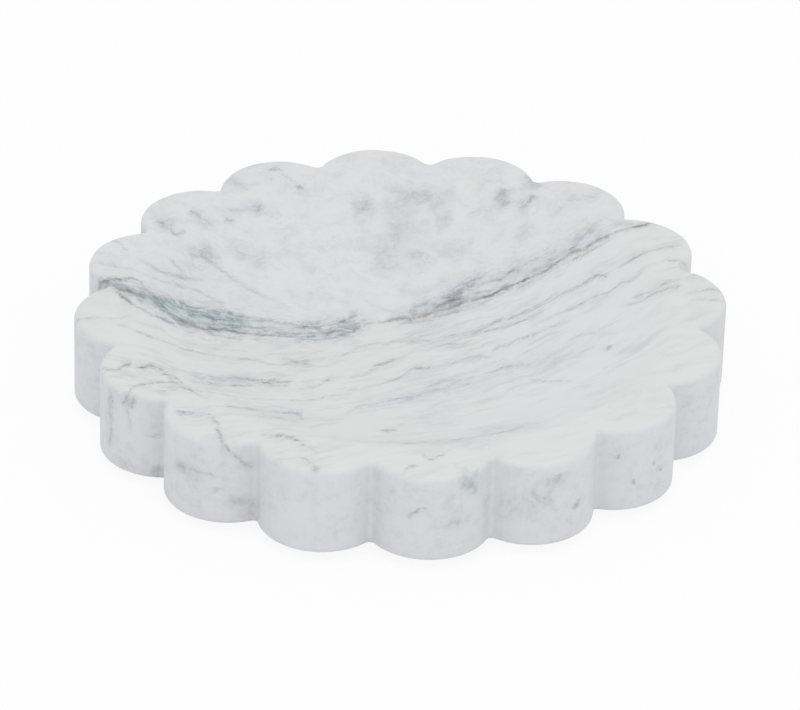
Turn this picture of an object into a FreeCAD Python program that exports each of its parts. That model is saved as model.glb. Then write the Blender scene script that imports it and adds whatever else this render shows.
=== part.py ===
import FreeCAD
import Part
import math
import os

# Round marble soap dish with a scalloped edge, standing on four rubber feet.
# Millimetres, +Z up. The origin is on the table under the middle of the dish,
# the front is towards -Y and the tip of one lobe points along +X.

Vector = FreeCAD.Vector

# Stone: a disc cut from a slab, with its edge worked into lobes
dish_diameter = 140.0
stone_thickness = 20.0
scallop_depth = 6.3
valley_radius = 1.0
top_arris_radius = 1.5
bottom_arris_radius = 0.9
lobe_count = 16

# Bowl: a shallow spherical hollow, rounded over where it meets the flat rim
rim_width = 6.2
floor_thickness = 8.5
lip_radius = 8.0

# Feet: soft moulded bumpers, each held by a die-cut adhesive disc
foot_diameter = 12.0
foot_height = 1.8
foot_taper = 0.3
foot_edge_radius = 0.5
foot_inset = 17.7
tape_thickness = 0.2
tape_inset = 0.5
foot_corners = ("rear_right", "rear_left", "front_left", "front_right")

# How far an edge may lie from the plane or the axis that it is picked by
pick_tolerance = 0.001

# Levels and radii that follow from the sizes above
tip_radius = dish_diameter / 2
valley_floor_radius = tip_radius - scallop_depth
valley_centre_radius = valley_floor_radius + valley_radius
lobe_pitch = 2 * math.pi / lobe_count
foot_pitch = 2 * math.pi / len(foot_corners)
foot_circle_radius = valley_floor_radius - foot_inset
stone_base = foot_height + tape_thickness
stone_top = stone_base + stone_thickness
bowl_depth = stone_thickness - floor_thickness
mouth_radius = valley_floor_radius - rim_width
bowl_radius = (mouth_radius**2 + bowl_depth**2) / (2 * bowl_depth)


def lobe_arc_radius():
    """Radius of the lobe arcs that reach the tip circle and run tangent into the valley arcs."""
    reach = valley_centre_radius * math.cos(lobe_pitch / 2)
    chord_squared = tip_radius**2 + valley_centre_radius**2 - 2 * tip_radius * reach
    return (chord_squared - valley_radius**2) / (2 * (tip_radius - reach + valley_radius))


def on_circle(radius, angle):
    """Point at an angle on a circle round the dish's axis."""
    return Vector(radius * math.cos(angle), radius * math.sin(angle), 0)


def lobe_and_valley(index):
    """Convex arc of one lobe and the concave arc of the valley that follows it."""
    lobe_radius = lobe_arc_radius()
    tangent_share = lobe_radius / (lobe_radius + valley_radius)
    middle = index * lobe_pitch
    centre = on_circle(tip_radius - lobe_radius, middle)
    next_centre = on_circle(tip_radius - lobe_radius, middle + lobe_pitch)
    valley_before = on_circle(valley_centre_radius, middle - lobe_pitch / 2)
    valley_after = on_circle(valley_centre_radius, middle + lobe_pitch / 2)
    lobe_start = centre + (valley_before - centre) * tangent_share
    lobe_end = centre + (valley_after - centre) * tangent_share
    next_start = next_centre + (valley_after - next_centre) * tangent_share
    tip = on_circle(tip_radius, middle)
    valley_floor = on_circle(valley_floor_radius, middle + lobe_pitch / 2)
    lobe_arc = Part.Arc(lobe_start, tip, lobe_end)
    valley_arc = Part.Arc(lobe_end, valley_floor, next_start)
    return [lobe_arc.toShape(), valley_arc.toShape()]


def scalloped_blank():
    """Upright block of stone with the lobed outline."""
    edges = []
    for index in range(lobe_count):
        edges += lobe_and_valley(index)
    blank = Part.Face(Part.Wire(edges)).extrude(Vector(0, 0, stone_thickness))
    blank.translate(Vector(0, 0, stone_base))
    return blank


def edges_at(solid, height):
    """Edges of a solid that lie in one level plane."""
    level = []
    for edge in solid.Edges:
        if all(abs(vertex.Z - height) < pick_tolerance for vertex in edge.Vertexes):
            if abs(edge.CenterOfMass.z - height) < pick_tolerance:
                level.append(edge)
    return level


def around_axis(edges):
    """Edges that go right round the upright axis."""
    return [edge for edge in edges if math.hypot(edge.CenterOfMass.x, edge.CenterOfMass.y) < pick_tolerance]


def dish_body():
    """Stone dish: lobed block with eased arrises and the bowl sunk into its top."""
    dish = scalloped_blank()
    dish = dish.makeFillet(top_arris_radius, edges_at(dish, stone_top))
    dish = dish.makeFillet(bottom_arris_radius, edges_at(dish, stone_base))
    bowl_centre = Vector(0, 0, stone_top - bowl_depth + bowl_radius)
    dish = dish.cut(Part.makeSphere(bowl_radius, bowl_centre))
    return dish.makeFillet(lip_radius, around_axis(edges_at(dish, stone_top)))


def rubber_foot(place):
    """Rubber foot: a low tapered disc with its lower edge rounded over."""
    bond_radius = foot_diameter / 2
    foot = Part.makeCone(bond_radius - foot_taper, bond_radius, foot_height)
    foot = foot.makeFillet(foot_edge_radius, around_axis(edges_at(foot, 0)))
    foot.translate(place)
    return foot


def adhesive_disc(place):
    """Adhesive disc between a foot and the underside of the stone."""
    return Part.makeCylinder(foot_diameter / 2 - tape_inset, tape_thickness, place + Vector(0, 0, foot_height))


def soap_dish():
    """Every piece of the dish, by its name."""
    pieces = {"dish_body": dish_body()}
    for index, corner in enumerate(foot_corners):
        place = on_circle(foot_circle_radius, (index + 1 / 2) * foot_pitch)
        pieces[f"rubber_foot_{corner}"] = rubber_foot(place)
        pieces[f"adhesive_disc_{corner}"] = adhesive_disc(place)
    return pieces


os.makedirs("parts", exist_ok=True)
for name, piece in soap_dish().items():
    piece.exportStep(f"parts/{name}.step")
    print(f"{name}: {piece.ShapeType}, valid {piece.isValid()}, {piece.Volume:.1f} mm3")
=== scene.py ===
"""Looks of a round marble soap dish with a scalloped edge, standing on four rubber feet.

Sizes inside the classes are millimetres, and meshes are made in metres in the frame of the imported
solids: +Z is up, the front is towards -Y and the tip of one lobe points along +X.
"""

import logging
import math
from collections.abc import Callable, Sequence
from dataclasses import dataclass, field, replace
from enum import Enum, IntEnum

import bpy
from mathutils import Matrix, Vector, noise


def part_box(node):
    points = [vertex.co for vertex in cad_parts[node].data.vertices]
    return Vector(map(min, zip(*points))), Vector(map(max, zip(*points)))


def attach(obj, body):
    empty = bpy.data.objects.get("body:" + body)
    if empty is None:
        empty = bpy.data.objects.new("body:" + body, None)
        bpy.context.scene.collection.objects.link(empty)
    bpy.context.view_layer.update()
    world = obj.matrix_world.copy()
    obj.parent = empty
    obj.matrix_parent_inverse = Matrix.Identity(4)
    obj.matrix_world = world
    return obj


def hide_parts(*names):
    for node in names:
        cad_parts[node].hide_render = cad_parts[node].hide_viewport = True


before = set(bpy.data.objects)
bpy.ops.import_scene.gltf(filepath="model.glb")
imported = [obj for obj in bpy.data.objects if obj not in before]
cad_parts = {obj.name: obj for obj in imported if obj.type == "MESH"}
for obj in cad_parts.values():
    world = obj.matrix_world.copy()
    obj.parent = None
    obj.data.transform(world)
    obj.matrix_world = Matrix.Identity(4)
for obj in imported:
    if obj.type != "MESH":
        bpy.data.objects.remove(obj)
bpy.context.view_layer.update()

Tree = bpy.types.NodeTree
Socket = bpy.types.NodeSocket
Material = bpy.types.Material
Piece = bpy.types.Object
Feed = Socket | float | Sequence[float]
Pair = tuple[float, float]
Point = tuple[float, float, float]
Ring = list[Point]
Colour = tuple[float, float, float, float]

LOG = logging.getLogger("soap_dish")
MM = 0.001
WHITE: Colour = (1.0, 1.0, 1.0, 1.0)

# The stone's CAD node, whose box gives the dish its place and its outer size.
STONE_NODE = "dish_body"
STONE_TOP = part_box(STONE_NODE)[1].z / MM

# The photograph looks a little across the part's own front, so the stone's veins and the camera
# are both laid out in the photograph's axes: x to the right, y away from the viewer.
PHOTO_TURN = math.radians(6.586)


def linear(hex_code: str) -> Colour:
    """Turn an sRGB hex colour into linear light.

    Args:
        hex_code: Six hex digits after a hash sign.

    Returns:
        Red, green, blue and an alpha of one.
    """
    shares = [int(hex_code[place : place + 2], 16) / 255 for place in (1, 3, 5)]
    light = [s / 12.92 if s <= 0.04045 else ((s + 0.055) / 1.055) ** 2.4 for s in shares]
    return light[0], light[1], light[2], 1.0


def add_node(
    tree: Tree,
    kind: str,
    feeds: dict[str | int, Feed],
    output: str | int = 0,
    curve: Sequence[Pair] = (),
    **settings: object,
) -> Socket | None:
    """Add one node with its settings and links.

    Args:
        tree: Node tree that takes the node.
        kind: Name of the node's type, without the ShaderNode in front.
        feeds: What goes into each input: a socket to link, or a value to set.
        output: Which output to hand on.
        curve: Points of the node's curve, where it has one.
        settings: Properties of the node itself.

    Returns:
        The chosen output, ready to feed another node, or nothing from a node that ends a tree.
    """
    node = tree.nodes.new("ShaderNode" + kind)
    for name, value in settings.items():
        setattr(node, name, value)
    if curve:
        node.mapping.use_clip = False
        node.mapping.extend = "HORIZONTAL"
        points = node.mapping.curves[0].points
        for _ in curve[2:]:
            points.new(0.0, 0.0)
        for point, place in zip(points, curve):
            point.location = place
            point.handle_type = "AUTO_CLAMPED"
        node.mapping.update()
    for key, feed in feeds.items():
        if isinstance(feed, Socket):
            tree.links.new(feed, node.inputs[key])
        else:
            node.inputs[key].default_value = feed
    return node.outputs[output] if len(node.outputs) else None


def bare_material(name: str) -> Material:
    """Start a material with no nodes in it.

    Args:
        name: Name of the material.

    Returns:
        The material, with an empty node tree.
    """
    material = bpy.data.materials.new(name)
    material.use_nodes = True
    material.node_tree.nodes.clear()
    return material


class MixSocket(IntEnum):
    """Numbers of a Mix node's sockets, whose names are the same for each kind of data."""

    SHARE = 0
    VALUE_A = 2
    VALUE_B = 3
    COLOUR_A = 6
    COLOUR_B = 7


# The output of a Mix node that gives a colour.
MIXED_COLOUR = 2


class Tone(Enum):
    """Mineral colours of the veins and clouds, each as deep as it gets. Grey also paints shade along the
    bowl's front lip.
    """

    GREY = "#63686D"
    TEAL = "#558A90"
    GREEN = "#5A968E"
    PLUM = "#727288"


class Heading(Enum):
    """Axis of the photograph that a vein runs along, and the axis that it wanders along."""

    ACROSS = (0, 1)
    AWAY = (1, 0)
    UP = (2, 0)
    LEVEL = (0, 2)


@dataclass(frozen=True)
class Vein:
    """One thin sheet that goes straight through the block: mostly mineral, in one case painted shade.

    Attributes:
        tone: Colour of the mineral, and grey for painted shade.
        width: Half the width of the sheet's core.
        route: Place along the heading, place across it and depth of colour, point by point.
        heading: Which way the sheet runs.
    """

    tone: Tone
    width: float
    route: tuple[Point, ...]
    heading: Heading = Heading.ACROSS


@dataclass(frozen=True)
class Cloud:
    """A soft patch inside the block: mostly mineral, in two cases painted shade.

    Attributes:
        tone: Colour of the mineral, and grey for painted shade.
        depth: Depth of colour in the middle.
        centre: Middle of the patch along x and y.
        reach: Half sizes of the patch along x and y.
        level: Height of its middle.
        rise: Half its height, which takes it right through the block if it isn't given.
    """

    tone: Tone
    depth: float
    centre: Pair
    reach: Pair
    level: float = 14.0
    rise: float = 30.0


# Course of the heavy vein from the left wall to the right one, which the finer bedding follows.
MAIN_LINE = (
    (-70, 8), (-60, 4), (-52, 1), (-45, -1), (-35, 1), (-20, 5),
    (-10, 9), (0, 13), (30, 26), (58, 41), (72, 48),
)

# Left half of the one heavy vein: a teal and grey body with dark lines along its edges, which pinches
# out near the middle.
MAIN_VEIN = (
    Vein(Tone.GREY, 0.6, (
        (-57, 2, 0), (-54.5, 1.2, 0.4), (-52, 1, 0.5), (-50, -0.6, 0.8), (-48, -2.2, 1.1),
        (-45, -3.2, 1.3), (-41, -2.3, 1.1), (-37, -1, 1.2), (-33, -0.4, 0.6), (-30, -0.1, 0),
    )),
    Vein(Tone.TEAL, 2.8, (
        (-57, 2, 0), (-55, 2.2, 0.35), (-52, 2, 0.52), (-46, 1.6, 0.46), (-40, 2.6, 0.52),
        (-36, 2.8, 0.46), (-33.5, 2.4, 0.26), (-30, 2.6, 0.2), (-25, 3.4, 0.18), (-20, 5, 0.2),
        (-15, 7.8, 0.28), (-11, 9.5, 0.32), (-9, 10.2, 0.15), (-7, 10.6, 0),
    )),
    Vein(Tone.TEAL, 1.3, (
        (-55, 2.6, 0), (-50, 2.8, 0.47), (-45, 2.2, 0.39), (-40, 3.2, 0.47), (-36, 3.6, 0.55),
        (-33.5, 2.6, 0),
    )),
    Vein(Tone.GREY, 0.45, (
        (-55, 2.4, 0), (-52, 3, 0.4), (-48, 2.6, 0.35), (-44, 1.4, 0.4), (-40, 2.4, 0.35),
        (-37, 2.2, 0.5), (-34, 1.6, 0.3), (-32, 1.2, 0),
    )),
    Vein(Tone.TEAL, 1.3, (
        (-68, 7.8, 0), (-64.5, 6.6, 0.27), (-61, 5.6, 0.32), (-58, 4.6, 0.36), (-56, 3.4, 0.36),
        (-54, 2.6, 0),
    )),
    Vein(Tone.GREY, 0.6, (
        (-57, 4.5, 0), (-54, 4.6, 0.25), (-51, 4.8, 0.3), (-46, 4.4, 0.3), (-41, 5.4, 0.3),
        (-38, 6.4, 0.35), (-35.5, 5.2, 0.6), (-31, 5.7, 0.6), (-28, 6.2, 0.65), (-24, 6.1, 0.5),
        (-20, 7, 0.45), (-18, 8.4, 0.48), (-15.5, 9.2, 0.56), (-13, 10.2, 0.64), (-11, 12, 0.72),
        (-9.8, 13.5, 0.32), (-9, 15, 0),
    )),
    Vein(Tone.GREY, 0.33, (
        (-59, -1.8, 0), (-57.5, -2.8, 0.5), (-55, -3.6, 0.6), (-53, -4.5, 0.5), (-50, -5, 0.7),
        (-47.5, -4.7, 0.6), (-44, -4.1, 0.3), (-40, -4.4, 0.3), (-36, -4, 0.25), (-32, -2.6, 0.15),
        (-25, -0.8, 0.2), (-20, 1.2, 0.2), (-14, 3.9, 0.25), (-11, 5.5, 0),
    )),
    Vein(Tone.GREY, 0.33, ((-48.5, -5.4, 0), (-47, -5.8, 0.5), (-45, -6.4, 0.4), (-44, -6.6, 0))),
    Vein(Tone.GREY, 0.45, (
        (-68, 8.6, 0), (-65, 7.4, 0.9), (-63, 7.2, 1.2), (-61, 7.2, 0.8), (-58.5, 8, 0.9),
        (-56.5, 7.6, 0.5), (-55, 6.8, 0),
    )),
    Vein(Tone.GREY, 0.6, (
        (-67, 5.8, 0), (-63.5, 5.2, 0.9), (-61, 4, 1), (-59, 2.8, 1.2), (-57, 2, 0.8), (-55, 1.6, 0),
    )),
    Vein(Tone.GREY, 0.6, (
        (-62, 2.6, 0), (-60.4, 1, 0.8), (-59.2, -0.8, 1.1), (-58.4, -1.6, 0.8), (-57, -2.4, 0),
    )),
    Vein(Tone.GREY, 0.45, (
        (-20, 3.6, 0), (-17, 4.6, 0.3), (-13.5, 6.3, 0.5), (-11, 6.8, 0.6), (-9.5, 8.3, 0.5),
        (-8, 9.5, 0.4), (-7, 10.2, 0),
    )),
    Vein(Tone.TEAL, 1.3, ((-22.5, 5.6, 0), (-20.6, 6.6, 0.32), (-19, 7.4, 0.32), (-17, 8, 0))),
    Vein(Tone.PLUM, 2.8, (
        (-66, 6.5, 0), (-62, 5.2, 0.16), (-57, 2.6, 0.16), (-52, -0.2, 0.2), (-46, -0.8, 0.28),
        (-38, 0.6, 0.32), (-32, 1.6, 0.24), (-25, 2.8, 0.16), (-18, 5, 0.2), (-12, 7.4, 0.21),
        (-8, 9.8, 0.09), (-5, 11, 0),
    )),
)

# Right of the pinch the heavy vein is one crinkled dark line with a plum and teal haze behind it.
RIGHT_LINE = (
    Vein(Tone.GREY, 0.9, (
        (-3, 12.8, 0), (0, 13.8, 0.3), (4, 15, 0.45), (8, 17, 0.45), (12, 18.8, 0.4), (15, 20, 0.2),
        (18, 21, 0),
    )),
    Vein(Tone.GREY, 0.45, (
        (-9, 9.4, 0), (-7, 10.2, 0.35), (-4, 11.5, 0.25), (-2, 12.2, 0.9), (0, 12.8, 1.1), (3, 13.3, 1),
        (5, 14.2, 1.3), (8, 15.8, 1), (11, 16.6, 1.2), (13.5, 18.3, 0.7), (16, 19.3, 0.8),
        (19, 20.4, 1.2), (21, 21.4, 1.2), (24, 23, 0.8), (27, 24.4, 1.3), (30, 25.7, 1.2),
        (32, 27.2, 0.8), (34, 29, 1.3), (36.5, 30.4, 0.9), (40, 31.4, 0.7), (43, 33.1, 1.2),
        (46, 34.2, 0.45), (50, 36.5, 0.6), (52, 37.4, 0.9), (55, 39.5, 0.8), (58, 41, 0),
    )),
    Vein(Tone.GREY, 0.33, (
        (-1, 10.8, 0), (1, 11.2, 0.35), (4, 11.8, 0.4), (8, 13.8, 0.45), (12, 15.2, 0.45),
        (14, 17, 0.35), (17.5, 17.7, 0.4), (19, 18.8, 0.3), (24, 21.6, 0.3), (28, 23, 0.25),
        (34, 27, 0.1), (36, 28, 0.35), (40, 29.6, 0.3), (43, 31, 0.3), (46, 32.6, 0),
    )),
    Vein(Tone.GREY, 0.45, (
        (18.5, 24.8, 0), (20, 25.4, 0.5), (22, 26.1, 0.7), (24.3, 27.6, 0.7), (25.5, 28, 0),
    )),
    Vein(Tone.PLUM, 0.9, (
        (35, 31, 0), (36.5, 32, 0.4), (38, 34, 0.3), (40, 35.8, 0.25), (44, 36.6, 0.1),
        (46.5, 37.7, 0.3), (49, 38, 0.3), (51, 38.5, 0),
    )),
    Vein(Tone.TEAL, 1.3, (
        (1, 15.5, 0), (3, 16.8, 0.35), (5, 17.8, 0.35), (7, 17.6, 0.21), (9, 18.4, 0.24),
        (10.5, 19.6, 0.35), (12, 20.4, 0.49), (13.2, 22.5, 0.21), (14.3, 24.5, 0.07), (15.5, 27, 0),
    )),
    Vein(Tone.PLUM, 1.3, (
        (18, 11, 0), (20, 12, 0.35), (22, 13, 0.25), (24.5, 14.4, 0.2), (27, 15.6, 0.2), (29, 16.2, 0),
    ), Heading.AWAY),
    Vein(Tone.PLUM, 0.6, (
        (4, 16.5, 0), (8, 18, 0.28), (12, 19.6, 0.56), (14, 20.2, 0.28), (18, 21.6, 0.14),
        (22, 23.2, 0.21), (26, 26, 0.21), (30, 27.6, 0.14), (34, 30.8, 0.24), (38, 32.6, 0.14),
        (42, 34, 0.1), (45, 35.2, 0),
    )),
    Vein(Tone.PLUM, 2.8, (
        (5, 17.5, 0), (9, 20, 0.28), (12, 22, 0.36), (15, 24.5, 0.3), (19, 26, 0.18), (26, 28.5, 0.18),
        (32, 31, 0.18), (36, 33.5, 0.15), (41, 36.5, 0.08), (46, 38, 0),
    )),
)

# Thin streaks in front of the heavy vein, all bedded in about the same direction. Last, painted shade on
# the front lip.
FRONT_STREAKS = (
    Vein(Tone.GREY, 0.33, (
        (-36, -1.4, 0), (-33, -0.6, 0.8), (-28, 0.3, 0.95), (-24, 1.4, 0.75), (-20, 2.5, 0.7),
        (-16, 4.2, 0.6), (-13, 5.2, 0.6), (-11, 6.5, 0.6), (-9.6, 8, 0.5), (-8.5, 9, 0),
    )),
    Vein(Tone.GREY, 0.33, (
        (-30, 1.5, 0), (-26, 2.2, 0.3), (-22, 3.2, 0.35), (-18, 4.6, 0.4), (-14, 6.4, 0.3),
        (-12, 7.4, 0),
    )),
    Vein(Tone.GREY, 0.45, (
        (-60, -11.5, 0), (-58, -12.9, 0.28), (-55.5, -14.4, 0.28), (-53, -15, 0.5), (-49, -15, 0.44),
        (-46, -15.3, 0.5), (-44, -14.7, 0.44), (-40, -14, 0.25), (-35, -13, 0.31), (-31, -12.1, 0.28),
        (-27, -12.2, 0.35), (-24, -10.6, 0.44), (-22, -9.7, 0.69), (-20, -9.1, 0.62), (-18, -8.6, 0),
    )),
    Vein(Tone.GREY, 0.6, (
        (-28, -10.2, 0), (-25, -9, 0.25), (-21, -8, 0.35), (-19, -6.6, 0.12), (-15, -5.6, 0.22),
        (-13, -4, 0.25), (-11.5, -2.6, 0.35), (-10.4, -1.4, 0.2), (-9.6, 0.2, 0.2), (-7, 1.8, 0.22),
        (-4, 2.8, 0.25), (0, 4, 0.22), (4, 4.5, 0.35), (8, 5.6, 0.25), (11, 6.6, 0.3), (15, 7.2, 0.3),
        (18, 9.6, 0.35), (21, 11, 0.45), (25, 12.2, 0.4), (28, 13.8, 0.45), (30, 15, 0.35),
        (32, 16.6, 0.55), (35, 17.6, 0.4), (39, 19.4, 0.35), (42, 21.6, 0.6), (44, 21, 0.5),
        (46, 22, 0.15), (49, 23.6, 0.45), (51, 24.8, 0.6), (54, 26.6, 0.3), (58, 28.2, 0.45),
        (61, 29.6, 0),
    )),
    Vein(Tone.GREY, 0.45, (
        (9, 4, 0), (12, 5.2, 0.2), (16, 6.4, 0.3), (20, 7.8, 0.35), (24, 9.1, 0.5), (26, 10, 0.4),
        (29, 11.6, 0.35), (33, 13.4, 0),
    )),
    Vein(Tone.GREY, 0.45, (
        (34.5, 10.4, 0), (36.4, 11, 0.6), (38, 12.4, 0.6), (40, 13.8, 0.35), (42.4, 14.4, 0.5),
        (44, 14.6, 0.4), (46.5, 16.2, 0.45), (48.5, 17, 0.5), (51, 17.6, 0.2), (53, 18.6, 0),
    )),
    Vein(Tone.GREY, 0.45, (
        (19, -1.2, 0), (20.2, -0.4, 0.5), (22, 0.6, 0.45), (23.5, 1, 0.3), (25, 2.8, 0.3),
        (27, 3.2, 0.4), (29.5, 3.8, 0.3), (32, 5.6, 0.4), (35, 6.7, 0.3), (37, 7, 0),
    )),
    Vein(Tone.GREY, 0.45, (
        (5.5, 1.6, 0), (8, 2, 0.35), (10, 2.8, 0.55), (13, 2.5, 0.55), (15, 3.6, 0.25), (17, 3.6, 0),
    )),
    Vein(Tone.GREY, 0.45, (
        (47, 8.4, 0), (49, 8.4, 0.3), (51.5, 8, 0.35), (53, 9, 0.45), (56, 9.8, 0.3), (58.6, 10.8, 0.65),
        (60, 11.4, 0.2), (62, 12, 0),
    )),
    Vein(Tone.GREY, 0.45, (
        (49, 10.4, 0), (51, 10.6, 0.45), (54, 10.8, 0.35), (58, 13, 0.4), (60, 14.2, 0.35),
        (62.5, 15.8, 0.35), (65, 17.5, 0),
    )),
    Vein(Tone.GREY, 0.45, ((60, 7.6, 0), (62, 8.8, 0.3), (64, 9.6, 0.35), (66.5, 10, 0.5), (73, 10, 0))),
    Vein(Tone.GREY, 0.45, ((61, 5.2, 0), (63, 5.8, 0.25), (67, 5.6, 0.2), (72, 5.4, 0))),
    Vein(Tone.GREY, 0.45, ((55.5, 21.6, 0), (58, 22, 0.4), (61, 21.8, 0.45), (64, 22, 0))),
    Vein(Tone.GREY, 0.45, (
        (34, -0.8, 0), (37, -0.4, 0.2), (39, 0, 0.25), (44.5, -1.8, 0.15), (47, -3, 0),
    )),
    Vein(Tone.GREY, 0.9, (
        (-45, -29.5, 0), (-42, -27.8, 0.22), (-39, -26, 0.38), (-36.5, -24, 0.52), (-34, -23, 0.65),
        (-31, -22.3, 0.7), (-28, -21.3, 0.7), (-25, -20.2, 0.62), (-23, -19.2, 0.32), (-21.5, -18, 0),
    )),
    Vein(Tone.GREY, 0.6, (
        (-44, -31.5, 0), (-42, -30.8, 0.33), (-39.5, -29.8, 0.52), (-37, -28.8, 0.45),
        (-34.5, -27.2, 0.45), (-31.5, -25.4, 0.33), (-28.5, -23.6, 0.26), (-25, -22.4, 0.13),
        (-22, -22, 0),
    )),
    Vein(Tone.PLUM, 2, (
        (-46, -30, 0), (-41, -27.5, 0.22), (-36, -25, 0.2), (-30, -22.5, 0.12), (-25, -20, 0.08),
        (-22, -18.5, 0),
    )),
    Vein(Tone.GREY, 0.6, (
        (-11, -13.5, 0), (-9.5, -12, 0.3), (-7, -10.2, 0.3), (-5, -7, 0.55), (-3.5, -5.6, 0.6),
        (-1.5, -4, 0.3), (1, -3, 0),
    )),
    Vein(Tone.GREY, 0.45, (
        (-21.5, -22, 0), (-19.5, -21.2, 0.4), (-17.5, -20, 0.2), (-16, -17, 0.35), (-15.2, -15.4, 0.45),
        (-14.2, -14.4, 0),
    )),
    Vein(Tone.GREY, 0.45, (
        (-11, -19.6, 0), (-10, -19, 0.35), (-8, -18.2, 0.2), (-6.3, -16.6, 0.5), (-4, -15.2, 0.3),
        (-2, -13.8, 0.4), (0, -11.8, 0.45), (1.2, -9.6, 0.3), (2, -8, 0.5), (4, -7.1, 0.7),
        (6, -7.2, 0.35), (9, -6.4, 0.2), (11, -5.2, 0.4), (13, -4, 0.35), (15, -2.9, 0.4),
        (17, -2.6, 0.35), (18.8, -3.6, 0.3), (20, -4, 0),
    )),
    Vein(Tone.GREY, 0.45, (
        (-40, -35, 0), (-36, -34.6, 0.2), (-33, -33.8, 0.25), (-30, -32.6, 0.2), (-26, -30.4, 0.2),
        (-22, -28.9, 0.25), (-18, -26.6, 0.25), (-15, -24.2, 0.3), (-12, -22, 0.2), (-9, -21, 0),
    )),
    Vein(Tone.PLUM, 0.6, (
        (-36.5, -43, 0), (-34.5, -41.6, 0.7), (-32, -40.4, 0.49), (-29, -39.8, 0.56), (-26.5, -39, 0.63),
        (-24, -38.6, 1.05), (-22.5, -37.2, 0.98), (-20.6, -36, 0.84), (-19.4, -35, 0),
    )),
    Vein(Tone.GREY, 0.6, (
        (-32.5, -45.5, 0), (-30, -44.3, 0.26), (-27, -43.2, 0.26), (-24.5, -42.6, 0.39),
        (-22, -43, 0.33), (-20.5, -44, 0),
    )),
    Vein(Tone.GREY, 0.45, (
        (-11, -32.5, 0), (-10, -31, 0.2), (-8, -28, 0.25), (-6.5, -26, 0.3), (-4, -25.2, 0.2),
        (-1.5, -23.4, 0.25), (1, -21.4, 0.3), (3.5, -19.6, 0.25), (5.5, -17.8, 0.2), (7, -15.6, 0.3),
        (9, -14, 0.4), (11, -13.6, 0.25), (13.5, -13, 0.25), (16, -11.6, 0.2), (19, -10.6, 0.3),
        (21, -9.4, 0.4), (23, -8.6, 0.4), (26, -8.8, 0.1), (29, -9.4, 0),
    )),
    Vein(Tone.PLUM, 0.6, (
        (-6, -27.6, 0), (-3, -26.2, 0.15), (0, -24, 0.2), (4, -21.4, 0.2), (7, -19, 0.15),
        (10, -16.8, 0.2), (13, -15.2, 0.15), (15, -15.6, 0.15), (18, -16.4, 0),
    )),
    Vein(Tone.PLUM, 2.8, (
        (-12, -32, 0), (-8, -28.5, 0.14), (-2, -24.5, 0.2), (4, -21, 0.18), (10, -17, 0.15),
        (16, -14.5, 0.12), (24, -11, 0.12), (32, -8, 0.1), (40, -6, 0),
    )),
    Vein(Tone.GREY, 0.45, (
        (-19, -47, 0), (-17.8, -45, 0.25), (-16.6, -43, 0.25), (-15.2, -41.8, 0.2), (-13, -40, 0.1),
        (-11, -39, 0),
    )),
    Vein(Tone.GREY, 0.45, (
        (-1, -39.2, 0), (0.4, -38.2, 0.4), (2, -37.2, 0.25), (4.5, -36.8, 0.2), (6.5, -36.8, 0.15),
        (8, -37, 0),
    )),
    Vein(Tone.GREY, 0.6, (
        (-5.5, -43.8, 0), (-3.6, -43.4, 0.3), (-2.2, -43, 0.9), (-1.2, -42.6, 0.6), (0, -42.2, 0),
    )),
    Vein(Tone.GREY, 0.45, (
        (26.5, -15.5, 0), (28, -16.6, 0.2), (30.5, -18, 0.35), (34, -19.2, 0.25), (38, -21, 0),
    )),
    Vein(Tone.GREY, 0.45, ((16, -23.4, 0), (18.5, -23.9, 0.2), (21, -24.4, 0.15), (23, -25, 0))),
    Vein(Tone.GREY, 0.45, (
        (-9.6, 43.4, 0), (-8.4, 43.9, 0.4), (-7.2, 44.2, 0.45), (-6.4, 44.3, 0),
    ), Heading.AWAY),
    # Painted shade, not a streak: a grey band along the bowl's front lip that darkens the front slope
    # there.
    Vein(Tone.GREY, 0.9, (
        (-20, -54, 0), (-10, -53.6, 0.12), (0, -53.4, 0.2), (10, -51.6, 0.25), (20, -47.6, 0.3),
        (26, -44.6, 0.2), (34, -40, 0),
    )),
)

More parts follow.
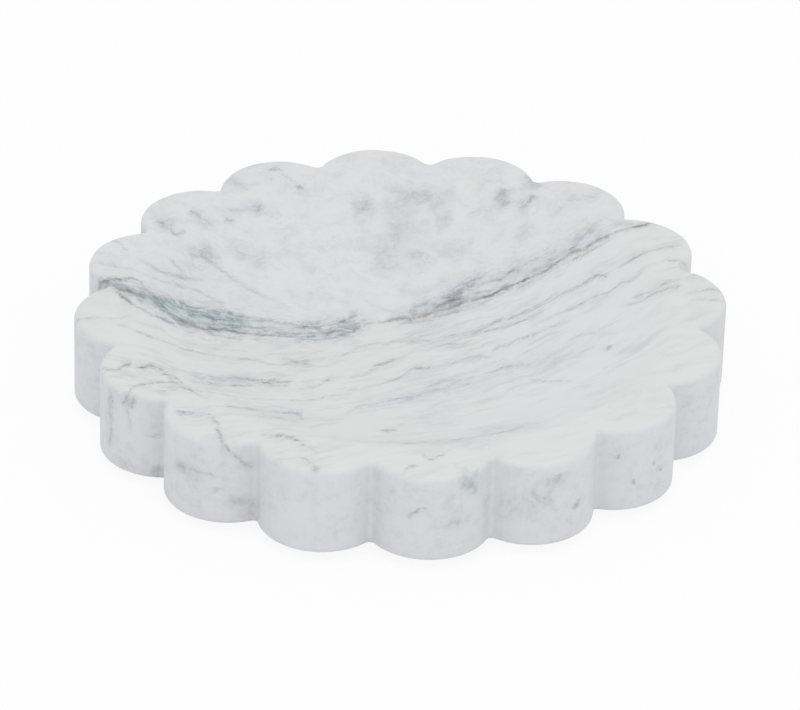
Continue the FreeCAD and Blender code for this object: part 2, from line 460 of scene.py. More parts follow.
# Squiggles that cross the lobes at the front left.
LOBE_SQUIGGLES = (
    Vein(Tone.GREY, 0.45, (
        (-64, -32.4, 0), (-62, -31, 0.5), (-60.2, -30.2, 0.3), (-58.6, -29.4, 0.6), (-57.6, -28.2, 1),
        (-56.6, -27.9, 0.9), (-55.6, -28.8, 0),
    )),
    Vein(Tone.GREY, 0.6, (
        (-55.2, -29.2, 0), (-54, -28.9, 0.9), (-52.8, -28.4, 1.2), (-51.6, -28.9, 1.1),
        (-50.4, -29.8, 0.6), (-48.6, -31.2, 0.6), (-47, -32.4, 0.8), (-45.8, -33.6, 0.5),
        (-44.6, -35.2, 0),
    )),
    Vein(Tone.GREY, 0.33, ((-51, -29.8, 0), (-49.6, -31.2, 0.4), (-47.6, -33, 0.4), (-45.4, -33.6, 0))),
    Vein(Tone.GREY, 0.45, (
        (-57.2, -40.6, 0), (-56, -39, 0.5), (-54.8, -37, 0.5), (-52.6, -35.6, 0.6), (-51, -35, 0.6),
        (-49, -34.7, 0.5), (-47, -35, 0.5), (-45.4, -35.8, 0.5), (-43.6, -37, 0.5), (-42, -38.4, 0.25),
        (-40, -40.2, 0.2), (-38.6, -41, 0),
    )),
    Vein(Tone.GREY, 0.45, ((-50.5, -38, 0), (-49, -38, 0.35), (-47, -37.4, 0.3), (-45.6, -37.4, 0))),
    Vein(Tone.TEAL, 1.3, (
        (-47, -45.4, 0), (-45.4, -46.2, 0.22), (-43.6, -46.4, 0.26), (-41.6, -46.8, 0.3),
        (-39.8, -46.8, 0.22), (-38.2, -46.6, 0),
    )),
    Vein(Tone.PLUM, 0.9, ((-46.6, -45.6, 0), (-45, -46.8, 0.3), (-43, -47.4, 0.35), (-41, -47.2, 0))),
    Vein(Tone.TEAL, 0.9, (
        (-29, -55.2, 0), (-27.6, -54.4, 0.17), (-25.6, -54.4, 0.2), (-24, -54.5, 0.18),
        (-22, -55.4, 0.2), (-20.4, -56.8, 0.18), (-18.4, -58.4, 0.17), (-16.8, -60, 0.12), (-16, -61, 0),
    )),
    Vein(Tone.GREY, 0.45, (
        (-28.6, -55, 0), (-27, -54.4, 0.3), (-24.6, -54.4, 0.4), (-22, -55.4, 0.45), (-19.6, -57.4, 0.4),
        (-17.6, -59.2, 0.35), (-16, -61, 0),
    )),
    Vein(Tone.GREY, 0.6, (
        (-70, -16, 0), (-66.2, -17, 0.45), (-64.8, -18, 0.4), (-63.4, -18.8, 0.4), (-62, -20, 0),
    ), Heading.AWAY),
    Vein(Tone.GREY, 0.45, (
        (4.6, -60, 0), (5.6, -60.8, 0.4), (6.8, -61.9, 0.55), (8, -61.2, 0.5), (9.4, -60.2, 0.4),
        (10, -60, 0),
    )),
    Vein(Tone.GREY, 0.45, (
        (1, -67.4, 0), (2, -66, 0.25), (3, -64.8, 0.45), (4, -64.8, 0.2), (5, -65, 0),
    )),
    Vein(Tone.GREY, 0.45, (
        (-58.6, -35.4, 0), (-57, -36.2, 0.6), (-55, -36.7, 0.5), (-53.4, -37.2, 0.4), (-51.6, -37, 0.3),
        (-49.4, -37.8, 0.4), (-47.4, -38.6, 0.4), (-46.4, -39.4, 0),
    ), Heading.AWAY),
)

# Marks on the upright walls of the lobes at the front: drawn-out ends of the squiggles, stains, specks.
WALL_MARKS = (
    Vein(Tone.GREY, 0.45, (
        (5, -60.6, 0), (7.8, -60.2, 0.35), (11, -60, 0.3), (14, -60.2, 0.5), (17, -59.8, 0.75),
        (19, -59.8, 0.5), (21, -60, 0),
    ), Heading.UP),
    Vein(Tone.GREY, 0.45, (
        (17.6, -57.2, 0), (18.8, -56.9, 0.7), (20.6, -56.4, 1), (22, -56, 0.9), (23, -55.8, 0),
    ), Heading.UP),
    Vein(Tone.GREY, 0.45, (
        (17.8, -55.6, 0), (19, -55.3, 0.6), (20.4, -54.8, 0.8), (22, -54.4, 0.7), (23, -54.2, 0),
    ), Heading.UP),
    Vein(Tone.GREY, 0.33, (
        (13, -55.4, 0), (15, -55.8, 0.3), (17.6, -56.2, 0.4), (19, -56.4, 0),
    ), Heading.UP),
    Vein(Tone.GREY, 0.6, (
        (11.7, -50.6, 0), (12.3, -50.5, 0.5), (13, -50.2, 0.45), (13.6, -50, 0),
    ), Heading.UP),
    Vein(Tone.GREY, 1.3, (
        (1.6, -50.2, 0), (2.8, -50, 0.5), (4.4, -50.2, 0.4), (5.6, -50.4, 0),
    ), Heading.UP),
    Vein(Tone.TEAL, 1.3, (
        (2, -57.4, 0), (3.4, -57.2, 0.5), (4.6, -58.2, 0.45), (6, -58.8, 0),
    ), Heading.UP),
    Vein(Tone.GREY, 0.45, (
        (15.2, -30.2, 0), (16.2, -31, 0.4), (17.6, -32.3, 0.5), (19.6, -34.3, 0.6), (21.2, -35.6, 0.7),
        (22.2, -36.2, 0.6), (23, -36.4, 0),
    ), Heading.UP),
    Vein(Tone.TEAL, 0.9, (
        (-33, 16.6, 0), (-31.6, 16.3, 0.24), (-30.2, 15.8, 0.32), (-28.8, 15.6, 0),
    ), Heading.LEVEL),
    Vein(Tone.TEAL, 1.3, (
        (11.8, -44.6, 0), (12.8, -44.4, 0.24), (14.2, -44.2, 0.27), (15.2, -44, 0),
    ), Heading.UP),
    Vein(Tone.GREY, 0.33, (
        (-45.6, 13.2, 0), (-44, 13.6, 0.4), (-42, 13.8, 0.3), (-40, 13.6, 0.4), (-38, 13.3, 0.35),
        (-36.6, 12.8, 0),
    ), Heading.LEVEL),
    Vein(Tone.GREY, 0.6, (
        (8.8, -37.8, 0), (9.5, -37.4, 0.6), (10.3, -37.1, 0.6), (11, -37, 0),
    ), Heading.UP),
    Vein(Tone.TEAL, 1.3, (
        (5.2, -33.6, 0), (6.6, -33.4, 0.21), (8, -33.2, 0.27), (9.2, -33, 0),
    ), Heading.UP),
    Vein(Tone.TEAL, 0.9, (
        (-36, 7.4, 0), (-34, 7.5, 0.19), (-31.5, 7.2, 0.17), (-29, 7.6, 0),
    ), Heading.LEVEL),
    Vein(Tone.TEAL, 0.9, (
        (2.4, -29.9, 0), (3.6, -29.8, 0.25), (7.2, -29.7, 0.25), (8.6, -29.7, 0),
    ), Heading.UP),
    Vein(Tone.GREY, 0.45, (
        (11.6, 2.3, 0), (12.4, 2.7, 0.7), (13.5, 3.6, 1.2), (14.5, 4.6, 1), (15.4, 5.6, 0),
    ), Heading.UP),
    Vein(Tone.GREEN, 0.9, (
        (15.6, 15.5, 0), (17, 15.7, 0.32), (18.6, 15.1, 0.37), (20.2, 14.6, 0.32), (21.6, 14.2, 0.24),
        (22.6, 14, 0),
    ), Heading.UP),
    Vein(Tone.GREEN, 0.9, (
        (7.6, 10.2, 0), (9.6, 10.5, 0.18), (11.5, 10.6, 0.29), (14, 11.2, 0.26), (16, 11.8, 0),
    ), Heading.LEVEL),
    Vein(Tone.TEAL, 1.3, (
        (15, 32, 0), (16.4, 32.5, 0.45), (18, 33.1, 0.5), (19.4, 33.6, 0),
    ), Heading.UP),
    Vein(Tone.GREY, 0.6, (
        (16.4, 32.4, 0), (17.1, 32.7, 0.5), (18, 33, 0.5), (18.8, 33.4, 0),
    ), Heading.UP),
    Vein(Tone.PLUM, 2.8, (
        (21, 12.4, 0), (24, 12.6, 0.2), (28, 13, 0.26), (31, 13.6, 0.26), (34, 14.2, 0),
    ), Heading.LEVEL),
    Vein(Tone.GREY, 0.6, (
        (8.8, 36.7, 0), (9.6, 37, 0.5), (10.4, 37.2, 0.5), (11.2, 37.4, 0),
    ), Heading.UP),
    Vein(Tone.GREY, 0.33, (
        (14.6, 45.3, 0), (15.1, 45.4, 0.6), (15.8, 45.5, 0.5), (16.4, 45.6, 0),
    ), Heading.UP),
    Vein(Tone.GREY, 0.33, (
        (11.2, 53.3, 0), (12, 53.4, 0.7), (12.8, 53.4, 0.6), (13.6, 53.5, 0),
    ), Heading.UP),
    Vein(Tone.GREY, 0.45, (
        (9.2, 54.7, 0), (9.9, 54.5, 0.7), (10.6, 54.4, 0.5), (11.3, 54.2, 0),
    ), Heading.UP),
    Vein(Tone.GREY, 0.33, ((8.4, 49.1, 0), (8.9, 49, 0.5), (9.5, 48.9, 0.4), (10, 48.8, 0)), Heading.UP),
)

# Wisps behind the heavy vein, where the bedding breaks up into cloudy flecks.
REAR_WISPS = (
    Vein(Tone.GREY, 0.45, (
        (-72, -10, 0), (-69, -9.8, 0.35), (-67, -9.2, 0.45), (-64, -8.8, 0.2), (-61, -9.4, 0.25),
        (-58.5, -8.4, 0.15), (-57, -8, 0),
    )),
    Vein(Tone.GREY, 0.45, (
        (-70, 14, 0), (-66, 14, 0.25), (-62, 12.8, 0.35), (-59, 12.2, 0.3), (-57, 11.4, 0.2),
        (-54, 10.4, 0.35), (-51, 10.6, 0.4), (-48, 11, 0.5), (-45.5, 10.9, 0.5), (-43, 10.6, 0.4),
        (-40, 9.4, 0.45), (-37.5, 9, 0),
    )),
    Vein(Tone.GREY, 0.45, (
        (-58, 16, 0), (-56.5, 15.2, 0.45), (-54, 14.2, 0.45), (-51, 13.8, 0.55), (-48, 13.9, 0.6),
        (-46, 14.4, 0.45), (-44, 15.6, 0.35), (-42, 17, 0),
    )),
    Vein(Tone.GREY, 0.45, (
        (-53, 20, 0), (-51, 19.2, 0.35), (-49.6, 17.6, 0.45), (-48, 16.6, 0.3), (-46.5, 16.4, 0),
    )),
    Vein(Tone.GREY, 0.6, (
        (-45, 24.6, 0), (-42.5, 23, 0.55), (-40.5, 21.8, 0.6), (-39, 20.6, 0.45), (-36.5, 18.6, 0.42),
        (-34, 17, 0.4), (-31, 15.4, 0.35), (-28, 14.2, 0.2), (-25, 13.4, 0),
    )),
    Vein(Tone.GREY, 0.6, (
        (-55, 33.6, 0), (-53.6, 32, 0.9), (-51.8, 31.6, 0.5), (-51.2, 29.6, 0.7), (-50, 28.4, 0.7),
        (-48.6, 29.6, 0.6), (-47.6, 30, 0),
    )),
    Vein(Tone.PLUM, 0.6, (
        (-47.5, 38.6, 0), (-46.4, 37.7, 0.7), (-45.2, 36.6, 0.7), (-44, 35.6, 0.4), (-42.6, 34.6, 0.35),
        (-41, 34.4, 0),
    )),
    Vein(Tone.GREY, 0.6, (
        (-40, 40, 0), (-37.6, 40.2, 0.4), (-36, 41, 0.3), (-33.5, 42, 0.25), (-32.3, 43.2, 0.7),
        (-31.6, 44.4, 0),
    )),
    Vein(Tone.TEAL, 0.45, ((-40, 36, 0), (-39.4, 37, 0.7), (-38.2, 37.6, 0.6), (-37, 38.4, 0))),
    Vein(Tone.GREY, 0.6, (
        (-31, 58.6, 0), (-30, 58, 0.7), (-28.6, 58.6, 0.5), (-27.6, 56.6, 0.3), (-26, 54.4, 0.35),
        (-24.8, 52.4, 0.45), (-23.8, 51.3, 0.7), (-22.5, 50.4, 0.3), (-21, 50, 0),
    )),
    Vein(Tone.GREY, 0.6, (
        (-40, 52.6, 0), (-38.4, 52.4, 0.4), (-37, 51.4, 0.4), (-35, 49, 0.35), (-34, 47.6, 0),
    )),
    Vein(Tone.GREY, 0.45, (
        (-64, 24.6, 0), (-63, 24, 0.5), (-61.4, 22, 0.35), (-60, 20.4, 0.3), (-59, 19, 0),
    )),
    Vein(Tone.GREY, 0.6, (
        (45.5, 20.8, 0), (47.5, 21.6, 0.35), (49.4, 22, 0.45), (51.2, 22, 0.7), (53, 21.6, 0.3),
        (54, 21.4, 0),
    ), Heading.AWAY),
    Vein(Tone.GREY, 0.45, (
        (24.6, 46.6, 0), (25.6, 47, 0.6), (26.6, 47.2, 0.7), (27.4, 48.4, 0.8), (28.2, 49.6, 0.7),
        (29, 49.4, 0.3), (30, 49.6, 0),
    )),
    Vein(Tone.GREEN, 0.6, (
        (31, 43, 0), (33, 43.8, 0.24), (34.8, 45, 0.36), (35.8, 46.6, 0.36), (37, 47.8, 0.33),
        (38.8, 48.6, 0.27), (41, 50, 0.14), (43.4, 51.8, 0.18), (45, 53, 0),
    )),
    Vein(Tone.GREEN, 1.3, (
        (37.6, 25.6, 0), (38.8, 26, 0.24), (40.6, 26.6, 0.2), (42.4, 27.2, 0),
    ), Heading.AWAY),
    Vein(Tone.GREEN, 0.9, (
        (6, 45, 0), (7.4, 44, 0.2), (8.4, 43.2, 0.24), (9.4, 43.4, 0.2), (10.4, 44.8, 0.12),
        (11.4, 45.4, 0),
    )),
    Vein(Tone.GREEN, 0.9, (
        (7, 37, 0), (9, 36.2, 0.18), (11, 35.8, 0.24), (12.6, 36, 0.27), (13.6, 37.4, 0.14),
        (15, 38.2, 0.36), (15.6, 39.6, 0),
    )),
    Vein(Tone.GREY, 1.3, ((-1, 34, 0), (1, 34, 0.25), (3.4, 33.8, 0.4), (5, 34.6, 0.2), (6, 36, 0))),
    Vein(Tone.GREY, 2, (
        (28.5, -4.6, 0), (30.5, -3.8, 0.2), (33, -3.6, 0.22), (35.5, -4, 0.22), (38, -3.4, 0.1),
        (41, -1.8, 0.22), (43, -1.6, 0.25), (45, -1.8, 0.12), (48, -1, 0.22), (50.5, -0.4, 0.22),
        (52.5, 1.4, 0.22), (54, 3, 0),
    ), Heading.AWAY),
    Vein(Tone.GREY, 2, ((4, 52.6, 0), (6, 51, 0.3), (8, 49.4, 0.3), (9.6, 47.4, 0.25), (11, 46.6, 0))),
    Vein(Tone.GREY, 2, (
        (-12, 48.6, 0), (-10.4, 48.2, 0.3), (-9.2, 47, 0.3), (-7, 47.6, 0.15), (-5, 46.6, 0),
    )),
    Vein(Tone.GREY, 0.45, (
        (16, 53.4, 0), (17, 54.8, 0.25), (18.6, 55.8, 0.25), (20.6, 56, 0.2), (22, 55.6, 0),
    )),
    Vein(Tone.GREY, 0.9, (
        (52.5, 29.2, 0), (54.5, 28.8, 0.4), (57, 27.9, 0.5), (59, 27.2, 0),
    ), Heading.AWAY),
)

# Soft patches. All but the last four, which lie near a wall, go right through the block.
CLOUDS = (
    Cloud(Tone.GREY, 0.21, (-33, 28.5), (5, 3.5)),
    Cloud(Tone.GREY, 0.34, (-52, 31.5), (3.5, 4)),
    Cloud(Tone.GREY, 0.2, (-45, 36), (4, 3)),
    Cloud(Tone.TEAL, 0.16, (-45, 22), (5, 8)),
    Cloud(Tone.GREY, 0.26, (-44, 23), (3, 4.5)),
    Cloud(Tone.GREY, 0.15, (-37, 51), (4.5, 4.5)),
    Cloud(Tone.GREY, 0.19, (-32, 43), (4, 3)),
    Cloud(Tone.GREY, 0.19, (-10, 48), (3.5, 5)),
    Cloud(Tone.PLUM, 0.15, (-4, 35), (5, 8)),
    Cloud(Tone.GREY, 0.12, (0, 47), (4, 10)),
    Cloud(Tone.GREY, 0.15, (4, 52), (9, 4)),
    Cloud(Tone.GREEN, 0.12, (8, 44), (3.5, 3)),
    Cloud(Tone.GREEN, 0.11, (10, 37), (7, 4)),
    Cloud(Tone.GREEN, 0.11, (17, 47), (4, 5)),
    Cloud(Tone.GREY, 0.26, (22, 50), (2.5, 4)),
    Cloud(Tone.GREEN, 0.14, (26.5, 48), (4, 3.5)),
    Cloud(Tone.GREEN, 0.14, (26.5, 40), (3, 3.5)),
    Cloud(Tone.GREEN, 0.12, (36, 46), (4.5, 4.5)),
    Cloud(Tone.GREY, 0.15, (40, 50), (6, 4)),
    Cloud(Tone.GREY, 0.19, (28, 55), (2.5, 5)),
    Cloud(Tone.PLUM, 0.09, (30, -8), (11, 6)),
    Cloud(Tone.PLUM, 0.1, (12, -16), (10, 5)),
    Cloud(Tone.PLUM, 0.09, (8, -32), (5, 10)),
    # The next two are painted shade: they darken the bowl's front slope along the lip.
    Cloud(Tone.GREY, 0.12, (8, -53), (14, 5), 20),
    Cloud(Tone.GREY, 0.13, (22, -45), (8, 5), 18),
    Cloud(Tone.GREY, 0.12, (-25, -43), (6, 4), 18),
    Cloud(Tone.GREY, 0.05, (46, -32), (12, 12), 18),
    Cloud(Tone.GREY, 0.05, (2, 62), (24, 8), 18),
    Cloud(Tone.GREY, 0.5, (-20.5, -39), (1.1, 1.4), 18),
    Cloud(Tone.GREEN, 0.11, (12, -68.5), (2.5, 3), 14, 4),
    Cloud(Tone.GREEN, 0.2, (14.6, -66.5), (2.4, 3), 20.6, 3.4),
    Cloud(Tone.GREEN, 0.14, (-31.5, -57.3), (4, 4), 6.8, 3.5),
    Cloud(Tone.GREEN, 0.11, (-43, -55.5), (4.5, 4), 13, 3),
)


def block_place(tree: Tree) -> Socket:
    """Find the place inside a piece.

    Args:
        tree: Node tree that asks for it.

    Returns:
        The place in millimetres, along the photograph's axes.
    """
    block = add_node(tree, "TexCoord", {}, "Object")
    feeds = {"Vector": block, "Rotation": (0, 0, PHOTO_TURN), "Scale": (1 / MM, 1 / MM, 1 / MM)}
    return add_node(tree, "Mapping", feeds)


@dataclass(frozen=True)
class Mottle:
    """A natural, cloudy pattern, solid through a piece.

    Attributes:
        size: Size of its marks along x, y and z.
        span: Share of the pattern's height where marks start and where they are full.
        value: What it gives between the marks and on them.
        detail: How many finer layers it has.
        roughness: How strong each finer layer is.
    """

    size: Point
    span: Pair
    value: Pair
    detail: float = 3.0
    roughness: float = 0.6

    def draw(self, tree: Tree, place: Socket) -> Socket:
        """Draw the pattern.

        Args:
            tree: Node tree that takes it.
            place: Place inside the piece, in millimetres.

        Returns:
            The pattern's value at that place.
        """
        scale = tuple(1 / size for size in self.size)
        spread = add_node(tree, "VectorMath", {0: place, 1: scale}, operation="MULTIPLY")
        feeds = {"Vector": spread, "Scale": 1.0, "Detail": self.detail, "Roughness": self.roughness}
        waves = add_node(tree, "TexNoise", feeds)
        feeds = {
            "Value": waves,
            "From Min": self.span[0],
            "From Max": self.span[1],
            "To Min": self.value[0],
            "To Max": self.value[1],
        }
        return add_node(tree, "MapRange", feeds, interpolation_type="SMOOTHSTEP")


@dataclass(frozen=True)
class Warp:
    """A random bend of a pattern.

    Attributes:
        shift: How far it moves a point at most.
        size: Size of one bend.
        detail: How many finer layers the bend has.
    """

    shift: float
    size: float
    detail: float = 2.0

    def bend(self, tree: Tree, still: Socket, place: Socket) -> Socket:
        """Bend a pattern.

        Args:
            tree: Node tree that takes it.
            still: The unbent place, which the bend is drawn from.
            place: The place to shift.

        Returns:
            The shifted place.
        """
        feeds = {"Vector": still, "Scale": 1 / self.size, "Detail": self.detail}
        waves = add_node(tree, "TexNoise", feeds, "Color")
        # The noise goes from nought to one, so half of it is no shift.
        centred = add_node(tree, "VectorMath", {0: waves, 1: (0.5, 0.5, 0.5)}, operation="SUBTRACT")
        reach = (2 * self.shift,) * 3
        return add_node(tree, "VectorMath", {0: centred, 1: reach, 2: place}, operation="MULTIPLY_ADD")


def bend_all(tree: Tree, still: Socket, warps: Sequence[Warp]) -> Socket:
    """Apply several bends, each drawn from the unbent place.

    Args:
        tree: Node tree that takes them.
        still: The unbent place.
        warps: The bends.

    Returns:
        The place after all of them.
    """
    place = still
    for warp in warps:
        place = warp.bend(tree, still, place)
    return place


@dataclass(frozen=True)
class Bundle:
    """Veins that were laid down together.

    Attributes:
        veins: The veins.
        fullness: Share of their depth of colour that is left.
        spread: How far their mineral has crept sideways, as a multiple of their width.
        crumble: How much the veins break up, from smooth at nought to crumbly at one.
        crinkles: Bends of the veins.
        wall_share: Share of their depth on upright faces.
        level_share: Share of their depth on level faces.
    """

    veins: tuple[Vein, ...]
    fullness: float
    spread: float
    crumble: float
    crinkles: tuple[Warp, ...]
    wall_share: float = 0.1
    level_share: float = 1.0


# What the rock's movement did to a vein or to the bedding: small folds, one broad wave, a fine crinkle.
CRUSHED = (Warp(1.2, 2.6), Warp(0.8, 13.0), Warp(0.6, 0.65))
CRINKLED = (Warp(0.8, 2.2), Warp(0.5, 13.0), Warp(0.5, 0.65))
DRAWN_OUT = (Warp(0.55, 3.6), Warp(0.8, 13.0), Warp(0.35, 0.8))
WAVY = (Warp(1.4, 4.5), Warp(1.6, 13.0), Warp(0.4, 0.9))

# Each bundle with its fullness, spread and crumble. Veins of the top face thin out on the walls, which
# have marks of their own.
BUNDLES = (
    Bundle(MAIN_VEIN, 1.0, 0.95, 0.8, CRUSHED, wall_share=0.5),
    Bundle(RIGHT_LINE, 1.1, 0.9, 0.75, CRINKLED, wall_share=0.5),
    Bundle(FRONT_STREAKS, 0.8, 1.0, 0.9, DRAWN_OUT),
    Bundle(REAR_WISPS, 0.6, 1.1, 0.6, CRUSHED, wall_share=0.4),
    Bundle(LOBE_SQUIGGLES, 0.9, 0.85, 1.0, DRAWN_OUT),
    Bundle(WALL_MARKS, 0.8, 0.8, 0.8, DRAWN_OUT, wall_share=1.0, level_share=0.0),
)


def chained(veins: Sequence[Vein]) -> list[Vein]:
    """Join like veins that lie one after the other, so that one pair of curves draws them all.

    Args:
        veins: Veins whose depth of colour is nought at both ends.

    Returns:
        Fewer and longer veins, which look the same.
    """
    chains: list[Vein] = []
    for vein in sorted(veins, key=lambda each: each.route[0][0]):
        kind = (vein.tone, vein.width, vein.heading)
        for place, chain in enumerate(chains):
            alike = kind == (chain.tone, chain.width, chain.heading)
            if alike and chain.route[-1][0] < vein.route[0][0]:
                chains[place] = replace(chain, route=chain.route + vein.route)
                break
        else:
            chains.append(vein)
    return chains


@dataclass(frozen=True)
class StonePlace:
    """Where in the stone a point lies.

    Attributes:
        tree: Node tree of the stone.
        still: The plain place in the block.
        bedded: The place along and across the bedding.
        rear: Nought in front of the heavy vein, one in the cloudy stone behind it.
        near: One close to the heavy vein, and less far in front of it.
        level: Nought on upright faces, one on level ones.
    """

    tree: Tree
    still: Socket
    bedded: Socket
    rear: Socket
    near: Socket
    level: Socket


@dataclass(frozen=True)
class HonedMarble:
    """White calcite marble, sawn from a block and honed with fine grit.

    Honing leaves no polish, so the eye gets a soft, chalky white with a broad sheen at most, and the
    mineral sheets in it show as crumbly grey, teal and plum lines that carry on round the edges. Grey
    painted shade darkens the bowl's front slope along the lip.
    """

    name: str = "honed_marble"
    milk_white: str = "#DFE1E0"
    cool_white: str = "#E0E0E4"
    ior: float = 1.52
    relief: float = 0.1
    relief_share: float = 0.15

    # Share of the cooler white on each part of the surface. In front it grows from left to right over
    # a span of x, and the rim turns into the bowl over a drop below the top.
    wall_coolness: float = 0.55
    front_rim_coolness: float = 0.05
    rear_rim_coolness: float = 0.42
    front_bowl_coolness: Pair = (0.15, 0.65)
    front_bowl_span: Pair = (-10.0, 40.0)
    rear_bowl_coolness: float = 0.82
    rim_drop: Pair = (0.4, 2.0)

    # Slopes between which a face turns from upright to level, distances behind the heavy vein over
    # which the stone turns cloudy and the streaks thicken, and the share of streaks left far in front.
    level_span: Pair = (0.1, 0.8)
    rear_span: Pair = (-1.0, 6.0)
    near_span: Pair = (-75.0, -20.0)
    far_streak_share: float = 0.45

    # How far the bedding fans out, by the distance behind the heavy vein.
    fan: tuple[Pair, ...] = ((-75, 0.0), (-50, -0.08), (-26, -0.18), (-8, -0.07), (0, 0.0), (8, 0.0))

    # A vein as wide as this is a haze, which reaches further and ends sooner than a line does. The edge
    # of a cloud runs from nothing to full between these shares of its half size.
    haze_width: float = 2.0
    haze_reach: float = 1.5
    cloud_edge: Pair = (1.25, 0.15)

    # How the veins crumble, how the clouds are torn and filled, and the faint marks between them:
    # streaks on the front of the top face, flecks behind, specks on the walls.
    strands: Mottle = Mottle((3.2, 0.7, 4.0), (0.3, 0.7), (0.35, 1.55))
    grit: Mottle = Mottle((0.6, 0.6, 0.6), (0.25, 0.75), (0.55, 1.4), 3.0, 0.7)
    breaks: Mottle = Mottle((2.4, 1.3, 2.4), (0.34, 0.66), (0.25, 1.45), 2.0)
    raggedness: tuple[Warp, ...] = (Warp(3.5, 5.5), Warp(1.2, 1.6))
    billows: Mottle = Mottle((3.2, 3.2, 3.2), (0.36, 0.66), (0.06, 1.42), 5.0, 0.74)
    streaks: Mottle = Mottle((9.0, 2.3, 12.0), (0.42, 0.8), (0.0, 0.37), 5.0, 0.6)
    streak_patches: Mottle = Mottle((16.0, 8.0, 16.0), (0.36, 0.64), (0.15, 1.0), 2.0)
    flecks: Mottle = Mottle((5.0, 5.0, 6.0), (0.42, 0.8), (0.0, 0.22), 6.0, 0.76)
    specks: Mottle = Mottle((2.2, 2.2, 2.2), (0.42, 0.78), (0.03, 0.24), 5.0, 0.78)
    speck_patches: Mottle = Mottle((9.0, 9.0, 9.0), (0.35, 0.65), (0.3, 1.0), 2.0)
    tint: Mottle = Mottle((12.0, 10.0, 12.0), (0.2, 0.6), (0.3, 1.0), 3.0)

    # Calcite crystals, drawn a little coarser than they are so that they show. They give the face its
    # roughness and its fine relief.
    crystals: Mottle = Mottle((0.7, 0.7, 0.7), (0.2, 0.8), (0.44, 0.6), 2.0)

    def material(self) -> Material:
        """Build the stone.

        Returns:
            Material whose pattern is solid through the block.
        """
        material = bare_material(self.name)
        tree = material.node_tree
        spot = self.locate(tree)
        depths = self.minerals_and_shade(spot)
        feeds = {
            MixSocket.SHARE: self.coolness(spot),
            MixSocket.COLOUR_A: linear(self.milk_white),
            MixSocket.COLOUR_B: linear(self.cool_white),
        }
        colour = add_node(tree, "Mix", feeds, MIXED_COLOUR, data_type="RGBA")
        for tone, depth in depths.items():
            clear = add_node(tree, "Math", {0: depth, 1: -1.0}, operation="MULTIPLY")
            clear = add_node(tree, "Math", {0: clear}, operation="EXPONENT")
            feeds = {
                MixSocket.SHARE: clear,
                MixSocket.COLOUR_A: linear(tone.value),
                MixSocket.COLOUR_B: colour,
            }
            colour = add_node(tree, "Mix", feeds, MIXED_COLOUR, data_type="RGBA")
        sheen = self.crystals.draw(tree, spot.still)
        feeds = {"Height": sheen, "Strength": self.relief_share, "Distance": self.relief * MM}
        lift = add_node(tree, "Bump", feeds, "Normal")
        feeds = {"Base Color": colour, "Roughness": sheen, "IOR": self.ior, "Normal": lift}
        surface = add_node(tree, "BsdfPrincipled", feeds)
        add_node(tree, "OutputMaterial", {"Surface": surface})
        return material

    def locate(self, tree: Tree) -> StonePlace:
        """Work out where a point lies. The bedding follows the heavy vein and fans out in front of it.

        Args:
            tree: Node tree of the stone.

        Returns:
            The place in the block and along the bedding, and what part of the stone that is.
        """
        still = block_place(tree)
        normal = add_node(tree, "NewGeometry", {}, "Normal")
        slope = add_node(tree, "SeparateXYZ", {0: normal}, 2)
        low, high = self.level_span
        level = add_node(tree, "MapRange", {"Value": slope, "From Min": low, "From Max": high})
        xyz = add_node(tree, "SeparateXYZ", {0: bend_all(tree, still, WAVY)}).node.outputs
        divide = add_node(tree, "FloatCurve", {"Value": xyz[0]}, curve=MAIN_LINE)
        behind = add_node(tree, "Math", {0: xyz[1], 1: divide}, operation="SUBTRACT")
        fan = add_node(tree, "FloatCurve", {"Value": behind}, curve=self.fan)
        across = add_node(tree, "Math", {0: fan, 1: xyz[0], 2: behind}, operation="MULTIPLY_ADD")
        bedded = add_node(tree, "CombineXYZ", {0: xyz[0], 1: across, 2: xyz[2]})
        low, high = self.rear_span
        rear = add_node(tree, "MapRange", {"Value": behind, "From Min": low, "From Max": high})
        low, high = self.near_span
        feeds = {"Value": behind, "From Min": low, "From Max": high, "To Min": self.far_streak_share}
        near = add_node(tree, "MapRange", feeds)
        return StonePlace(tree, still, bedded, rear, near, level)

    def minerals_and_shade(self, spot: StonePlace) -> dict[Tone, Feed]:
        """Work out how deep the colour of each mineral and of the painted shade on the front lip is.

        Args:
            spot: Where a point lies.

        Returns:
            Depth of colour of each tone.
        """
        tree = spot.tree
        ragged = bend_all(tree, spot.still, self.raggedness)
        hazes = self.patches(tree, ragged)
        depths = self.veining(spot)
        faint = self.faint_marks(spot, ragged)
        depths[Tone.GREY] = add_node(tree, "Math", {0: depths[Tone.GREY], 1: faint}, operation="ADD")
        billows = self.billows.draw(tree, ragged)
        for tone, haze in hazes.items():
            feeds = {0: haze, 1: billows, 2: depths[tone]}
            depths[tone] = add_node(tree, "Math", feeds, operation="MULTIPLY_ADD")
        return depths

